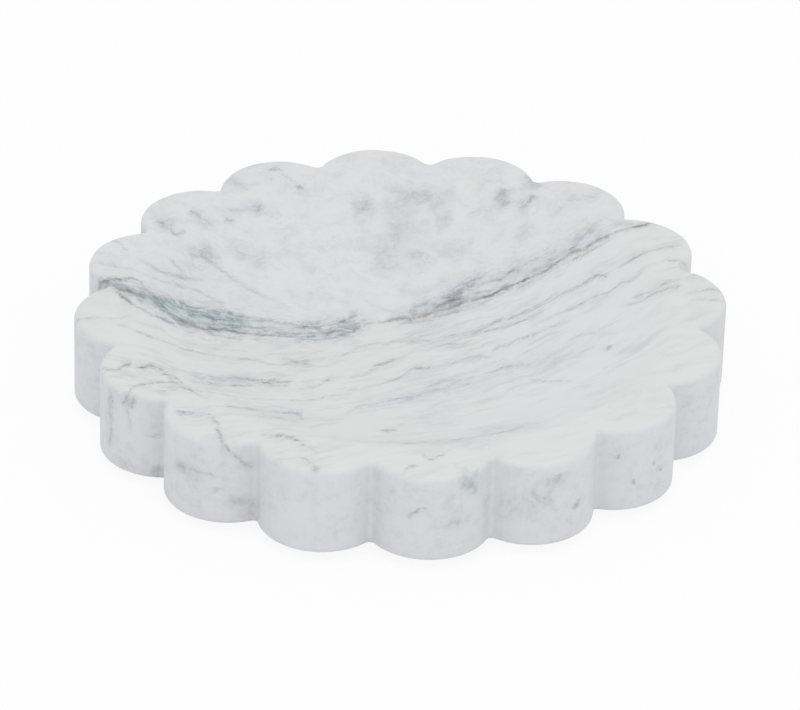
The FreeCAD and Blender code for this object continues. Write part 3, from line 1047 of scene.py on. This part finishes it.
    def veining(self, spot: StonePlace) -> dict[Tone, Feed]:
        """Add up the veins of all bundles, and let them crumble.

        Args:
            spot: Where a point lies.

        Returns:
            Depth of colour of each tone.
        """
        tree = spot.tree
        crumble = self.strands.draw(tree, spot.bedded)
        for pattern, place in ((self.grit, spot.still), (self.breaks, spot.bedded)):
            marks = pattern.draw(tree, place)
            crumble = add_node(tree, "Math", {0: crumble, 1: marks}, operation="MULTIPLY")
        depths: dict[Tone, Feed] = {tone: 0.0 for tone in Tone}
        for bundle in BUNDLES:
            bend = bend_all(tree, spot.still, bundle.crinkles)
            shares = {"To Min": bundle.wall_share, "To Max": bundle.level_share}
            face = add_node(tree, "MapRange", {"Value": spot.level, **shares})
            feeds = {0: crumble, 1: bundle.crumble, 2: 1 - bundle.crumble}
            bite = add_node(tree, "Math", feeds, operation="MULTIPLY_ADD")
            bite = add_node(tree, "Math", {0: bite, 1: face}, operation="MULTIPLY")
            for tone, depth in self.sheets(tree, bend, bundle).items():
                feeds = {0: depth, 1: bite, 2: depths[tone]}
                depths[tone] = add_node(tree, "Math", feeds, operation="MULTIPLY_ADD")
        return depths

    def sheets(self, tree: Tree, bend: Socket, bundle: Bundle) -> dict[Tone, Feed]:
        """Add up the depth of colour of the veins of one bundle.

        Args:
            tree: Node tree of the stone.
            bend: The crinkled place.
            bundle: The veins.

        Returns:
            Depth of colour of each tone that the bundle has.
        """
        xyz = add_node(tree, "SeparateXYZ", {0: bend}).node.outputs
        totals: dict[Tone, Feed] = {}
        for vein in chained(bundle.veins):
            ahead, aside = (xyz[axis] for axis in vein.heading.value)
            hazy = vein.width >= self.haze_width
            width = bundle.spread * vein.width * (self.haze_reach if hazy else 1.0)
            course = [(along, -across / width) for along, across, _ in vein.route]
            line = add_node(tree, "FloatCurve", {"Value": ahead}, curve=course)
            gap = add_node(tree, "Math", {0: aside, 1: 1 / width, 2: line}, operation="MULTIPLY_ADD")
            fade = add_node(tree, "Math", {0: gap, 1: gap, 2: 1.0}, operation="MULTIPLY_ADD")
            if hazy:
                fade = add_node(tree, "Math", {0: fade, 1: fade}, operation="MULTIPLY")
            levels = [(along, depth * bundle.fullness) for along, _, depth in vein.route]
            depth = add_node(tree, "FloatCurve", {"Value": ahead}, curve=levels)
            shade = add_node(tree, "Math", {0: depth, 1: fade}, operation="DIVIDE")
            total = totals.get(vein.tone, 0.0)
            totals[vein.tone] = add_node(tree, "Math", {0: total, 1: shade}, operation="ADD")
        return totals

    def patches(self, tree: Tree, ragged: Socket) -> dict[Tone, Feed]:
        """Add up the depth of colour of the clouds.

        Args:
            tree: Node tree of the stone.
            ragged: The place bent as the edges of the clouds are.

        Returns:
            Depth of colour of each tone.
        """
        totals: dict[Tone, Feed] = {tone: 0.0 for tone in Tone}
        for cloud in CLOUDS:
            centre = (*cloud.centre, cloud.level)
            reach = (*cloud.reach, cloud.rise)
            scale = tuple(1 / size for size in reach)
            start = tuple(-middle / size for middle, size in zip(centre, reach))
            offset = add_node(tree, "VectorMath", {0: ragged, 1: scale, 2: start}, operation="MULTIPLY_ADD")
            far = add_node(tree, "VectorMath", {0: offset}, "Value", operation="LENGTH")
            outer, inner = self.cloud_edge
            feeds = {"Value": far, "From Min": outer, "From Max": inner, "To Max": cloud.depth}
            shade = add_node(tree, "MapRange", feeds, interpolation_type="SMOOTHSTEP")
            totals[cloud.tone] = add_node(tree, "Math", {0: totals[cloud.tone], 1: shade}, operation="ADD")
        return totals

    def faint_marks(self, spot: StonePlace, ragged: Socket) -> Socket:
        """Draw the faint grey marks between the veins.

        Args:
            spot: Where a point lies.
            ragged: The place bent as the edges of the clouds are.

        Returns:
            Depth of their colour.
        """
        tree = spot.tree
        streaks = self.streaks.draw(tree, spot.bedded)
        patches = self.streak_patches.draw(tree, spot.bedded)
        streaks = add_node(tree, "Math", {0: streaks, 1: patches}, operation="MULTIPLY")
        streaks = add_node(tree, "Math", {0: streaks, 1: spot.near}, operation="MULTIPLY")
        flecks = self.flecks.draw(tree, ragged)
        specks = self.specks.draw(tree, spot.still)
        patches = self.speck_patches.draw(tree, spot.still)
        specks = add_node(tree, "Math", {0: specks, 1: patches}, operation="MULTIPLY")
        feeds = {MixSocket.SHARE: spot.rear, MixSocket.VALUE_A: streaks, MixSocket.VALUE_B: flecks}
        faint = add_node(tree, "Mix", feeds)
        feeds = {MixSocket.SHARE: spot.level, MixSocket.VALUE_A: specks, MixSocket.VALUE_B: faint}
        return add_node(tree, "Mix", feeds)

    def coolness(self, spot: StonePlace) -> Socket:
        """Share out the cooler white.

        Args:
            spot: Where a point lies.

        Returns:
            Share of the cooler white there.
        """
        tree = spot.tree
        xyz = add_node(tree, "SeparateXYZ", {0: spot.still}).node.outputs
        low, high = self.rim_drop
        feeds = {"Value": xyz[2], "From Min": STONE_TOP - low, "From Max": STONE_TOP - high}
        sunk = add_node(tree, "MapRange", feeds)
        low, high = self.front_bowl_span
        left, right = self.front_bowl_coolness
        feeds = {"From Min": low, "From Max": high, "To Min": left, "To Max": right}
        front = add_node(tree, "MapRange", {"Value": xyz[0], **feeds})
        feeds = {MixSocket.VALUE_A: front, MixSocket.VALUE_B: self.rear_bowl_coolness}
        bowl = add_node(tree, "Mix", {MixSocket.SHARE: spot.rear, **feeds})
        feeds = {MixSocket.VALUE_A: self.front_rim_coolness, MixSocket.VALUE_B: self.rear_rim_coolness}
        rim = add_node(tree, "Mix", {MixSocket.SHARE: spot.rear, **feeds})
        feeds = {MixSocket.SHARE: sunk, MixSocket.VALUE_A: rim, MixSocket.VALUE_B: bowl}
        top = add_node(tree, "Mix", feeds)
        feeds = {MixSocket.VALUE_A: self.wall_coolness, MixSocket.VALUE_B: top}
        cool = add_node(tree, "Mix", {MixSocket.SHARE: spot.level, **feeds})
        tint = self.tint.draw(tree, spot.still)
        return add_node(tree, "Math", {0: cool, 1: tint}, operation="MULTIPLY")


@dataclass(frozen=True)
class DullFinish:
    """A plain non-metal whose colour and sheen both follow one fine pattern.

    Attributes:
        name: Name of the material.
        colours: Colour between the marks of the pattern and on them.
        ior: How strongly it bends light.
        sheen: Roughness between the marks and on them.
        pattern: The pattern, from nought to one.
        relief: Height of the marks.
        relief_share: How much of that height the light shows.
    """

    name: str
    colours: tuple[str, str]
    ior: float
    sheen: Pair
    pattern: Mottle
    relief: float
    relief_share: float = 0.2

    def material(self) -> Material:
        """Build the finish.

        Returns:
            Its material.
        """
        material = bare_material(self.name)
        tree = material.node_tree
        film = self.pattern.draw(tree, block_place(tree))
        low, high = (linear(colour) for colour in self.colours)
        feeds = {MixSocket.SHARE: film, MixSocket.COLOUR_A: low, MixSocket.COLOUR_B: high}
        colour = add_node(tree, "Mix", feeds, MIXED_COLOUR, data_type="RGBA")
        feeds = {"Value": film, "To Min": self.sheen[0], "To Max": self.sheen[1]}
        sheen = add_node(tree, "MapRange", feeds)
        feeds = {"Height": film, "Strength": self.relief_share, "Distance": self.relief * MM}
        lift = add_node(tree, "Bump", feeds, "Normal")
        feeds = {"Base Color": colour, "Roughness": sheen, "IOR": self.ior, "Normal": lift}
        surface = add_node(tree, "BsdfPrincipled", feeds)
        add_node(tree, "OutputMaterial", {"Surface": surface})
        return material


# Silicone rubber from a compression mould: a pale grey satin skin, patchy where dust clings to it.
MOULDED_RUBBER = DullFinish(
    name="moulded_silicone_rubber",
    colours=("#CDCFCE", "#BDBEBB"),
    ior=1.41,
    sheen=(0.45, 0.65),
    pattern=Mottle((1.4, 1.4, 1.4), (0.3, 0.7), (0.0, 1.0), 4.0),
    relief=0.05,
)

# Double-sided acrylic film, die cut: a creamy, waxy edge with a faint fibrous core.
ADHESIVE_FILM = DullFinish(
    name="acrylic_adhesive_film",
    colours=("#E0DFD6", "#D2D0C4"),
    ior=1.47,
    sheen=(0.32, 0.48),
    pattern=Mottle((0.6, 0.6, 0.6), (0.3, 0.7), (0.0, 1.0)),
    relief=0.02,
)


def link_mesh(name: str, vertices: Sequence[Point], faces: Sequence[Sequence[int]]) -> Piece:
    """Make a smooth mesh object from points in millimetres.

    Args:
        name: Name of the piece.
        vertices: Points of the mesh.
        faces: Corners of each face.

    Returns:
        The object, linked to the scene.
    """
    mesh = bpy.data.meshes.new(name)
    mesh.from_pydata([tuple(MM * c for c in point) for point in vertices], [], faces)
    mesh.polygons.foreach_set("use_smooth", [True] * len(mesh.polygons))
    mesh.validate()
    piece = bpy.data.objects.new(name, mesh)
    bpy.context.scene.collection.objects.link(piece)
    return piece


def put_on(piece: Piece, finish: Material, node: str) -> None:
    """Cover a piece with its finish, and put it on the part in place of a solid.

    Args:
        piece: Piece to put on.
        finish: Material that covers it.
        node: CAD node that the piece stands for.
    """
    piece.data.materials.append(finish)
    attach(piece, "root")
    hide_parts(node)


@dataclass
class StoneDish:
    """The dish: a lobed block of stone with eased arrises and a shallow bowl.

    Attributes:
        lobes: How many lobes the edge has.
        scallop_depth: How far the valleys between the lobes lie inside their tips.
        valley_radius: Radius of the hollow arc in a valley.
        top_arris: Radius of the eased edge of the rim.
        base_arris: Radius of the eased edge of the underside.
        rim_width: Width of the rim from a valley to the mouth of the bowl.
        floor_thickness: Stone under the middle of the bowl.
        lip_radius: Radius of the round lip between the bowl and the rim.
        lobe_steps: Points along one lobe.
        valley_steps: Points along one valley.
        lip_rings: Rings of the lip.
        rim_rings: Rings of the flat rim.
        arris_rings: Rings of each arris.
        wall_rings: Rings of the upright wall.
        base_rings: Rings of the underside.
        base_patch_radius: Radius of the disc that closes the underside.
        hand_wave: Depth of the waves that hand finishing leaves.
        hand_wave_size: Length of those waves.
        arris_change: Share by which the hand-eased top arris varies.
        arris_change_size: Length over which it does.
        tip_radius: Radius of the circle that the lobes reach, from the solid.
        base: Height of the underside, from the solid.
        top: Height of the rim, from the solid.
        count: Points in one ring.
        edge: Points of the outline, each with the outward direction of the wall there.
        vertices: Points of the mesh.
        faces: Corners of each of its faces.
    """

    lobes: int = 16
    scallop_depth: float = 6.3
    valley_radius: float = 1.0
    top_arris: float = 1.5
    base_arris: float = 0.9
    rim_width: float = 6.2
    floor_thickness: float = 8.5
    lip_radius: float = 8.0
    lobe_steps: int = 26
    valley_steps: int = 6
    lip_rings: int = 7
    rim_rings: int = 6
    arris_rings: int = 6
    wall_rings: int = 18
    base_rings: int = 6
    base_patch_radius: float = 40.0
    hand_wave: float = 0.06
    hand_wave_size: float = 17.0
    arris_change: float = 0.22
    arris_change_size: float = 6.0
    tip_radius: float = field(init=False)
    base: float = field(init=False)
    top: float = field(init=False)
    count: int = field(init=False)
    edge: list[tuple[Vector, Vector]] = field(init=False)
    vertices: Ring = field(default_factory=list)
    faces: list[tuple[int, ...]] = field(default_factory=list)

    def __post_init__(self) -> None:
        """Take the block's size from the solid, and lay out its edge."""
        low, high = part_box(STONE_NODE)
        self.tip_radius = (high.x - low.x) / 2 / MM
        self.base = low.z / MM
        self.top = high.z / MM
        self.count = self.lobes * (self.lobe_steps + self.valley_steps)
        self.edge = self.outline()

    def build(self) -> list[Piece]:
        """Build and dress the stone.

        Returns:
            The dish as one closed piece.
        """
        places = [self.add_ring(ring) for ring in self.rings()]
        for upper, lower in zip(places, places[1:]):
            for step in range(self.count):
                after = (step + 1) % self.count
                self.faces.append((upper[step], lower[step], lower[after], upper[after]))
        self.add_patch(places[0], self.bowl_height, 1)
        self.add_patch(places[-1], lambda radius: self.base, -1)
        dish = link_mesh("marble_dish", self.vertices, self.faces)
        self.dress(dish)
        return [dish]

    def dress(self, dish: Piece) -> None:
        """Dress the dish in its marble."""
        put_on(dish, HonedMarble().material(), STONE_NODE)

    def outline(self) -> list[tuple[Vector, Vector]]:
        """Work out the lobed outline.

        Returns:
            Points round the outline, each with the outward direction of the wall there.
        """
        half = math.pi / self.lobes
        valley_centre = self.tip_radius - self.scallop_depth + self.valley_radius
        reach = valley_centre * math.cos(half)
        chord = self.tip_radius**2 + valley_centre**2 - 2 * self.tip_radius * reach
        lobe_radius = (chord - self.valley_radius**2) / (2 * (self.tip_radius - reach + self.valley_radius))
        lobe_centre = self.tip_radius - lobe_radius
        swing = math.atan2(valley_centre * math.sin(half), reach - lobe_centre)
        edge = []
        for lobe in range(self.lobes):
            turned = Matrix.Rotation(2 * half * lobe, 2)
            for step in range(self.lobe_steps):
                turn = swing * (2 * (step + 0.5) / self.lobe_steps - 1)
                out = Vector((math.cos(turn), math.sin(turn)))
                at = Vector((lobe_centre, 0)) + lobe_radius * out
                edge.append((turned @ at, turned @ out))
            turned = Matrix.Rotation(2 * half * (lobe + 0.5), 2)
            for step in range(self.valley_steps):
                turn = (swing - half) * (1 - 2 * (step + 0.5) / self.valley_steps)
                out = Vector((math.cos(turn), math.sin(turn)))
                at = Vector((valley_centre, 0)) - self.valley_radius * out
                edge.append((turned @ at, turned @ out))
        return edge

    def rings(self) -> list[Ring]:
        """Lay out the rings of the dish.

        Returns:
            Rings of the lip, the rim, the wall with its two arrises, and the underside, in that order.
        """
        turns = [math.pi / 2 * step / self.arris_rings for step in range(1, self.arris_rings + 1)]
        rings = self.lip()
        rings += self.between(rings[-1], self.inset(self.top, arris_in=1.0), self.rim_rings)
        for turn in turns:
            rings.append(self.inset(self.top, arris_in=1 - math.sin(turn), arris_down=1 - math.cos(turn)))
        rings += self.between(rings[-1], self.inset(self.base + self.base_arris), self.wall_rings)
        for turn in turns:
            level = self.base + self.base_arris * (1 - math.sin(turn))
            rings.append(self.inset(level, self.base_arris * (1 - math.cos(turn))))
        patch = self.circle(self.base_patch_radius, self.base)
        return rings + self.between(rings[-1], patch, self.base_rings)

    def circle(self, radius: float, level: float) -> Ring:
        """Lay out a level ring round the axis, in step with the outline.

        Args:
            radius: Radius of the ring.
            level: Height of the ring.

        Returns:
            Points of the ring.
        """
        pitch = 2 * math.pi / self.count
        first = (1 - self.lobe_steps) / 2 * pitch
        angles = [first + pitch * step for step in range(self.count)]
        return [(radius * math.cos(angle), radius * math.sin(angle), level) for angle in angles]

    def inset(
        self, level: float, inside: float = 0.0, arris_in: float = 0.0, arris_down: float = 0.0
    ) -> Ring:
        """Lay out a ring that follows the outline inside it.

        Args:
            level: Height of the ring.
            inside: Distance inside the outline.
            arris_in: Further distance inside it, as a share of the top arris.
            arris_down: Distance below the level, as a share of the top arris.

        Returns:
            Points of the ring.
        """
        ring = []
        for at, out in self.edge:
            arris = self.arris(at)
            spot = at - (inside + arris_in * arris) * out
            ring.append((spot.x, spot.y, level - arris_down * arris))
        return ring

    def between(self, first: Ring, last: Ring, steps: int) -> list[Ring]:
        """Lay out even rings from one ring to another.

        Args:
            first: Ring before the first one that is laid out.
            last: The last one.
            steps: How many there are.

        Returns:
            The rings.
        """
        rings = []
        for step in range(1, steps + 1):
            rings.append([tuple(Vector(a).lerp(Vector(b), step / steps)) for a, b in zip(first, last)])
        return rings

    def arris(self, at: Vector) -> float:
        """Radius of the hand-eased, and so a little uneven, top arris at a point of the outline."""
        change = noise.noise(Vector((at.x, at.y, 0)) / self.arris_change_size)
        return self.top_arris * (1 + self.arris_change * change)

    def sphere_radius(self) -> float:
        """Work out the bowl's hollow from its depth and its mouth.

        Returns:
            Radius of the hollow.
        """
        depth = self.top - self.base - self.floor_thickness
        mouth = self.tip_radius - self.scallop_depth - self.rim_width
        return (mouth**2 + depth**2) / (2 * depth)

    def bowl_height(self, radius: float) -> float:
        """Height of the hollow at a distance from the axis."""
        hollow = self.sphere_radius()
        return self.base + self.floor_thickness + hollow - math.sqrt(hollow**2 - radius**2)

    def lip(self) -> list[Ring]:
        """Lay out the round lip.

        Returns:
            Rings from the hollow up to the flat rim.
        """
        hollow = self.sphere_radius()
        rise = self.base + self.floor_thickness + hollow - (self.top - self.lip_radius)
        middle = math.sqrt((hollow + self.lip_radius) ** 2 - rise**2)
        lean = math.atan2(middle, rise)
        rings = []
        for step in range(self.lip_rings + 1):
            turn = lean * (1 - step / self.lip_rings)
            radius = middle - self.lip_radius * math.sin(turn)
            rings.append(self.circle(radius, self.top - self.lip_radius * (1 - math.cos(turn))))
        return rings

    def worn(self, point: Point) -> Point:
        """Move a point inwards by the slight wave that hand finishing leaves.

        Args:
            point: Point of the mesh.

        Returns:
            Where it lies on the finished stone. Points of the flat underside stay.
        """
        x, y, z = point
        if z <= self.base:
            return point
        wave = self.hand_wave * (1 + noise.noise(Vector(point) / self.hand_wave_size)) / 2
        radius = math.hypot(x, y) or 1.0
        outer = radius > self.tip_radius - self.scallop_depth - self.rim_width
        pull = wave / radius if outer else 0.0
        return x * (1 - pull), y * (1 - pull), z - wave * min(1.0, (z - self.base) / self.base_arris)

    def add_ring(self, ring: Ring) -> list[int]:
        """Add a ring's points to the mesh.

        Args:
            ring: The points.

        Returns:
            Their numbers.
        """
        first = len(self.vertices)
        self.vertices.extend(self.worn(point) for point in ring)
        return list(range(first, len(self.vertices)))

    def add_patch(self, rim: Sequence[int], height: Callable[[float], float], way: int) -> None:
        """Close a ring with a disc of four-sided faces.

        Args:
            rim: Numbers of the ring's points.
            height: Height of the disc at a distance from the axis.
            way: One for a disc that faces up, minus one for a disc that faces down.
        """
        side = self.count // 4
        radius = math.hypot(*self.vertices[rim[0]][:2])
        turn = math.atan2(self.vertices[rim[0]][1], self.vertices[rim[0]][0]) + math.pi / 4
        number: dict[tuple[int, int], int] = {}
        for step in range(side):
            number[(side, step)] = rim[step]
            number[(side - step, side)] = rim[side + step]
            number[(0, side - step)] = rim[2 * side + step]
            number[(step, 0)] = rim[3 * side + step]
        for across in range(1, side):
            for up in range(1, side):
                a, b = 2 * across / side - 1, 2 * up / side - 1
                if abs(a) > abs(b):
                    reach, angle = a * radius, math.pi / 4 * b / a
                elif b:
                    reach, angle = b * radius, math.pi / 2 - math.pi / 4 * a / b
                else:
                    reach, angle = 0.0, 0.0
                number[(across, up)] = len(self.vertices)
                x, y = reach * math.cos(angle + turn), reach * math.sin(angle + turn)
                self.vertices.append(self.worn((x, y, height(abs(reach)))))
        for across in range(side):
            for up in range(side):
                corners = [(across, up), (across + 1, up), (across + 1, up + 1), (across, up + 1)]
                self.faces.append(tuple(number[corner] for corner in corners[::way]))


class Layer(Enum):
    """The two layers under the stone."""

    FOOT = ("moulded_foot", "rubber_foot", "rubber", MOULDED_RUBBER)
    FILM = ("adhesive_film", "adhesive_disc", "adhesive", ADHESIVE_FILM)

    def __init__(self, piece: str, node: str, slot: str, finish: DullFinish) -> None:
        """Name what makes up a layer.

        Args:
            piece: Start of the name of its pieces, which ends with the corner.
            node: Start of the name of their CAD nodes.
            slot: The record's material slot, which is not used.
            finish: What covers them.
        """
        self.piece = piece
        self.node = node
        self.slot = slot
        self.finish = finish


@dataclass
class FootSet:
    """Four rubber feet under the stone, each on its adhesive disc.

    Attributes:
        corners: Names of the corners that the feet stand at.
        steps: Points in one ring of a turned piece.
        foot_taper: How much smaller the sole is than the upper face.
        foot_edge: Radius of the sole's round edge.
        foot_edge_rings: Rings of that edge.
        gate_radius: Radius of the dimple that moulding leaves in the sole.
        gate_depth: Depth of the dimple.
        gate_section: The dimple's half section, as shares of its radius and depth.
        parting_edge: Distances inside and below the upper edge, where the mould parts.
        film_bulge: How far the cutting die presses the film's edge out.
        sole_shares: Shares of the sole's radius at which its rings lie.
        side_shares: Shares of the side's height at which its rings lie.
        bond_shares: Shares of the upper face's radius at which its rings lie.
        film_shares: Shares of a disc's radius at which the rings of its faces lie.
    """

    corners: tuple[str, ...] = ("front_left", "front_right", "rear_left", "rear_right")
    steps: int = 72
    foot_taper: float = 0.3
    foot_edge: float = 0.5
    foot_edge_rings: int = 6
    gate_radius: float = 0.9
    gate_depth: float = 0.18
    gate_section: tuple[Pair, ...] = ((0.0, 1.0), (0.6, 1.0), (0.85, 0.6), (1.0, 0.0))
    parting_edge: tuple[Pair, ...] = ((0.02, 0.01), (0.08, 0.0))
    film_bulge: float = 0.05
    sole_shares: tuple[float, ...] = (0.3, 0.5, 0.7)
    side_shares: tuple[float, ...] = (0.33, 0.66, 0.97)
    bond_shares: tuple[float, ...] = (0.7, 0.35, 0.0)
    film_shares: tuple[float, ...] = (0.0, 0.4, 0.8)

    def build(self) -> list[Piece]:
        """Build and dress the feet and the discs.

        Returns:
            The pieces, each foot followed by its disc.
        """
        finishes = {layer: layer.finish.material() for layer in Layer}
        sections = {Layer.FOOT: self.foot_section, Layer.FILM: self.film_section}
        pieces = []
        for corner in self.corners:
            for layer in Layer:
                piece = self.lathe(layer, corner, sections[layer])
                self.dress(piece, layer, corner, finishes[layer])
                pieces.append(piece)
        return pieces

    def dress(self, piece: Piece, layer: Layer, corner: str, finish: Material) -> None:
        """Dress a foot or a disc in its finish.

        Args:
            piece: Piece to dress.
            layer: Which layer it is.
            corner: Which corner it stands at.
            finish: Material that covers it.
        """
        put_on(piece, finish, f"{layer.node}_{corner}")

    def foot_section(self, radius: float, low: float, high: float) -> list[Pair]:
        """Draw a foot, with the small moulding dimple in the middle of its sole.

        Args:
            radius: Radius of its upper face.
            low: Height of its sole.
            high: Height of its upper face.

        Returns:
            Radius and height along its half section.
        """
        sole = radius - self.foot_taper
        section = [(self.gate_radius * out, low + self.gate_depth * up) for out, up in self.gate_section]
        section += [(sole * share, low) for share in self.sole_shares]
        for step in range(self.foot_edge_rings + 1):
            turn = math.pi / 2 * step / self.foot_edge_rings
            inside = self.foot_edge * (1 - math.sin(turn))
            section.append((sole - inside, low + self.foot_edge * (1 - math.cos(turn))))
        for share in self.side_shares:
            height = low + self.foot_edge + share * (high - low - self.foot_edge)
            section.append((sole + self.foot_taper * share, height))
        section += [(radius - inside, high - below) for inside, below in self.parting_edge]
        return section + [(radius * share, high) for share in self.bond_shares]

    def film_section(self, radius: float, low: float, high: float) -> list[Pair]:
        """Draw a disc, with the pressed edge that a cutting die leaves.

        Args:
            radius: Radius of the disc.
            low: Height of its lower face.
            high: Height of its upper face.

        Returns:
            Radius and height along its half section.
        """
        pressed = radius - self.film_bulge
        section = [(radius * share, low) for share in self.film_shares]
        section += [(pressed, low), (radius, (low + high) / 2), (pressed, high)]
        return section + [(radius * share, high) for share in reversed(self.film_shares)]

    def lathe(
        self, layer: Layer, corner: str, draw: Callable[[float, float, float], list[Pair]]
    ) -> Piece:
        """Turn a half section round the upright axis of a CAD node.

        Args:
            layer: Which layer to make.
            corner: Corner whose node gives the piece its place and size.
            draw: Half section for a radius, a lowest and a highest level.

        Returns:
            The turned piece.
        """
        low, high = (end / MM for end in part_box(f"{layer.node}_{corner}"))
        centre = (low + high) / 2
        section = draw((high.x - low.x) / 2, low.z, high.z)
        turns = [2 * math.pi * step / self.steps for step in range(self.steps)]
        vertices = [(centre.x, centre.y, section[0][1])]
        for radius, height in section[1:-1]:
            for turn in turns:
                x, y = centre.x + radius * math.cos(turn), centre.y + radius * math.sin(turn)
                vertices.append((x, y, height))
        vertices.append((centre.x, centre.y, section[-1][1]))
        rings = len(section) - 2
        last = 1 + (rings - 1) * self.steps
        faces = []
        for step in range(self.steps):
            after = (step + 1) % self.steps
            faces.append((0, 1 + after, 1 + step))
            for start in range(1, last, self.steps):
                above = start + self.steps
                faces.append((start + step, start + after, above + after, above + step))
            faces.append((last + step, last + after, len(vertices) - 1))
        return link_mesh(f"{layer.piece}_{corner}", vertices, faces)


def seen_ray(tree: Tree) -> Socket:
    """Tell the rays that show the surroundings themselves from those that light the dish.

    Args:
        tree: Node tree that asks for it.

    Returns:
        One for rays that are seen, mirrored or come through glass, and nought for the others.
    """
    path = add_node(tree, "LightPath", {}).node.outputs
    feeds = {0: path["Is Camera Ray"], 1: path["Is Glossy Ray"]}
    seen = add_node(tree, "Math", feeds, operation="MAXIMUM")
    return add_node(tree, "Math", {0: seen, 1: path["Is Transmission Ray"]}, operation="MAXIMUM")


@dataclass(frozen=True)
class MattPaper:
    """Matt white backdrop paper, rolled out flat.

    It has no sheen at all, so the eye gets an even near-white that still takes the dish's shadow.

    Attributes:
        name: Name of the material.
        colour: Colour of the paper.
        own_light: Share of the paper that looks plain white where it is seen.
    """

    name: str = "matt_paper_floor"
    colour: str = "#F6F6F8"
    own_light: float = 0.9

    def material(self) -> Material:
        """Build the paper.

        Returns:
            Its material.
        """
        material = bare_material(self.name)
        tree = material.node_tree
        paper = add_node(tree, "BsdfDiffuse", {"Color": linear(self.colour)})
        glow = add_node(tree, "Emission", {"Color": WHITE, "Strength": 1.0})
        lifted = add_node(tree, "MixShader", {0: self.own_light, 1: paper, 2: glow})
        surface = add_node(tree, "MixShader", {0: seen_ray(tree), 1: paper, 2: lifted})
        add_node(tree, "OutputMaterial", {"Surface": surface})
        return material


@dataclass
class Studio:
    """Pale floor, white surroundings and one large soft lamp over the front of the dish.

    Attributes:
        floor_size: Length of each side of the floor.
        surround_level: Strength of the light from all round.
        lamp_size: Width of the lamp's round face.
        lamp_distance: Distance of the lamp from the dish.
        lamp_height_angle: Angle of the lamp above the floor, in radians.
        lamp_side_angle: Angle of the lamp to the right of the camera, in radians.
        lamp_power: Power of the lamp in watts.
    """

    floor_size: float = 6000.0
    surround_level: float = 0.83
    lamp_size: float = 1300.0
    lamp_distance: float = 1700.0
    lamp_height_angle: float = math.radians(66)
    lamp_side_angle: float = math.radians(14)
    lamp_power: float = 4.6

    def build(self) -> None:
        """Build the floor, the surroundings and the lamp."""
        self.floor()
        self.surround()
        self.lamp()

    def floor(self) -> None:
        """Lay the floor."""
        half = self.floor_size / 2
        corners = [(-half, -half, 0), (half, -half, 0), (half, half, 0), (-half, half, 0)]
        floor = link_mesh("floor", corners, [(0, 1, 2, 3)])
        floor.data.materials.append(MattPaper().material())

    def surround(self) -> None:
        """Set the even light from all round, which itself looks white."""
        world = bpy.data.worlds.new("white_room")
        world.use_nodes = True
        tree = world.node_tree
        tree.nodes.clear()
        feeds = {"Value": seen_ray(tree), "To Min": self.surround_level, "To Max": 1.0}
        level = add_node(tree, "MapRange", feeds)
        light = add_node(tree, "Background", {"Color": WHITE, "Strength": level})
        add_node(tree, "OutputWorld", {"Surface": light})
        bpy.context.scene.world = world

    def lamp(self) -> None:
        """Hang the soft lamp over the front of the dish."""
        data = bpy.data.lights.new("soft_box", "AREA")
        data.shape = "DISK"
        data.size = self.lamp_size * MM
        data.energy = self.lamp_power
        lamp = bpy.data.objects.new("soft_box", data)
        aim = Vector((0, -math.cos(self.lamp_height_angle), math.sin(self.lamp_height_angle)))
        aim.rotate(Matrix.Rotation(self.lamp_side_angle - PHOTO_TURN, 3, "Z"))
        lamp.location = aim * self.lamp_distance * MM
        lamp.rotation_euler = aim.to_track_quat("Z", "Y").to_euler()
        bpy.context.scene.collection.objects.link(lamp)


@dataclass
class PhotoCamera:
    """Long-lens camera in the photograph's place, low in front of the dish.

    Attributes:
        elevation: Angle that it looks down by, in radians.
        roll: Angle that it is tilted by, in radians.
        place: Where it stands, along the photograph's axes.
        sensor: Width of its sensor.
        focal_pixels: Focal length in pixels of the photograph.
        photo_width: Width of the photograph in pixels.
        sight: Nearest and furthest distance that it sees.
    """

    elevation: float = 0.538
    roll: float = -0.0285
    place: Point = (-0.119, -1005.203, 609.276)
    sensor: float = 36.0
    focal_pixels: float = 5451.56
    photo_width: float = 800.0
    sight: Pair = (50.0, 50000.0)

    def build(self) -> None:
        """Set up the camera and make it the scene's own."""
        data = bpy.data.cameras.new("photo_camera")
        data.sensor_fit = "HORIZONTAL"
        data.sensor_width = self.sensor
        data.lens = self.sensor * self.focal_pixels / self.photo_width
        data.clip_start, data.clip_end = (MM * end for end in self.sight)
        right = Vector((1, 0, 0))
        ahead = Vector((0, math.cos(self.elevation), -math.sin(self.elevation)))
        above = right.cross(ahead)
        cosine, sine = math.cos(self.roll), math.sin(self.roll)
        axes = Matrix((cosine * right - sine * above, sine * right + cosine * above, -ahead)).transposed()
        turn = Matrix.Rotation(-PHOTO_TURN, 4, "Z")
        camera = bpy.data.objects.new("photo_camera", data)
        camera.matrix_world = turn @ Matrix.Translation(Vector(self.place) * MM) @ axes.to_4x4()
        bpy.context.scene.collection.objects.link(camera)
        bpy.context.scene.camera = camera


def main() -> None:
    """Build the dish, its feet, the studio and the camera, in that order, and report each piece."""
    logging.basicConfig(level=logging.INFO, format="%(name)s: %(message)s")
    bpy.context.scene.view_settings.view_transform = "Standard"
    for assembly in (StoneDish(), FootSet()):
        for piece in assembly.build():
            LOG.info("%s: %d faces, %s", piece.name, len(piece.data.polygons), piece.data.materials[0].name)
    Studio().build()
    PhotoCamera().build()


if __name__ == "__main__":
    main()
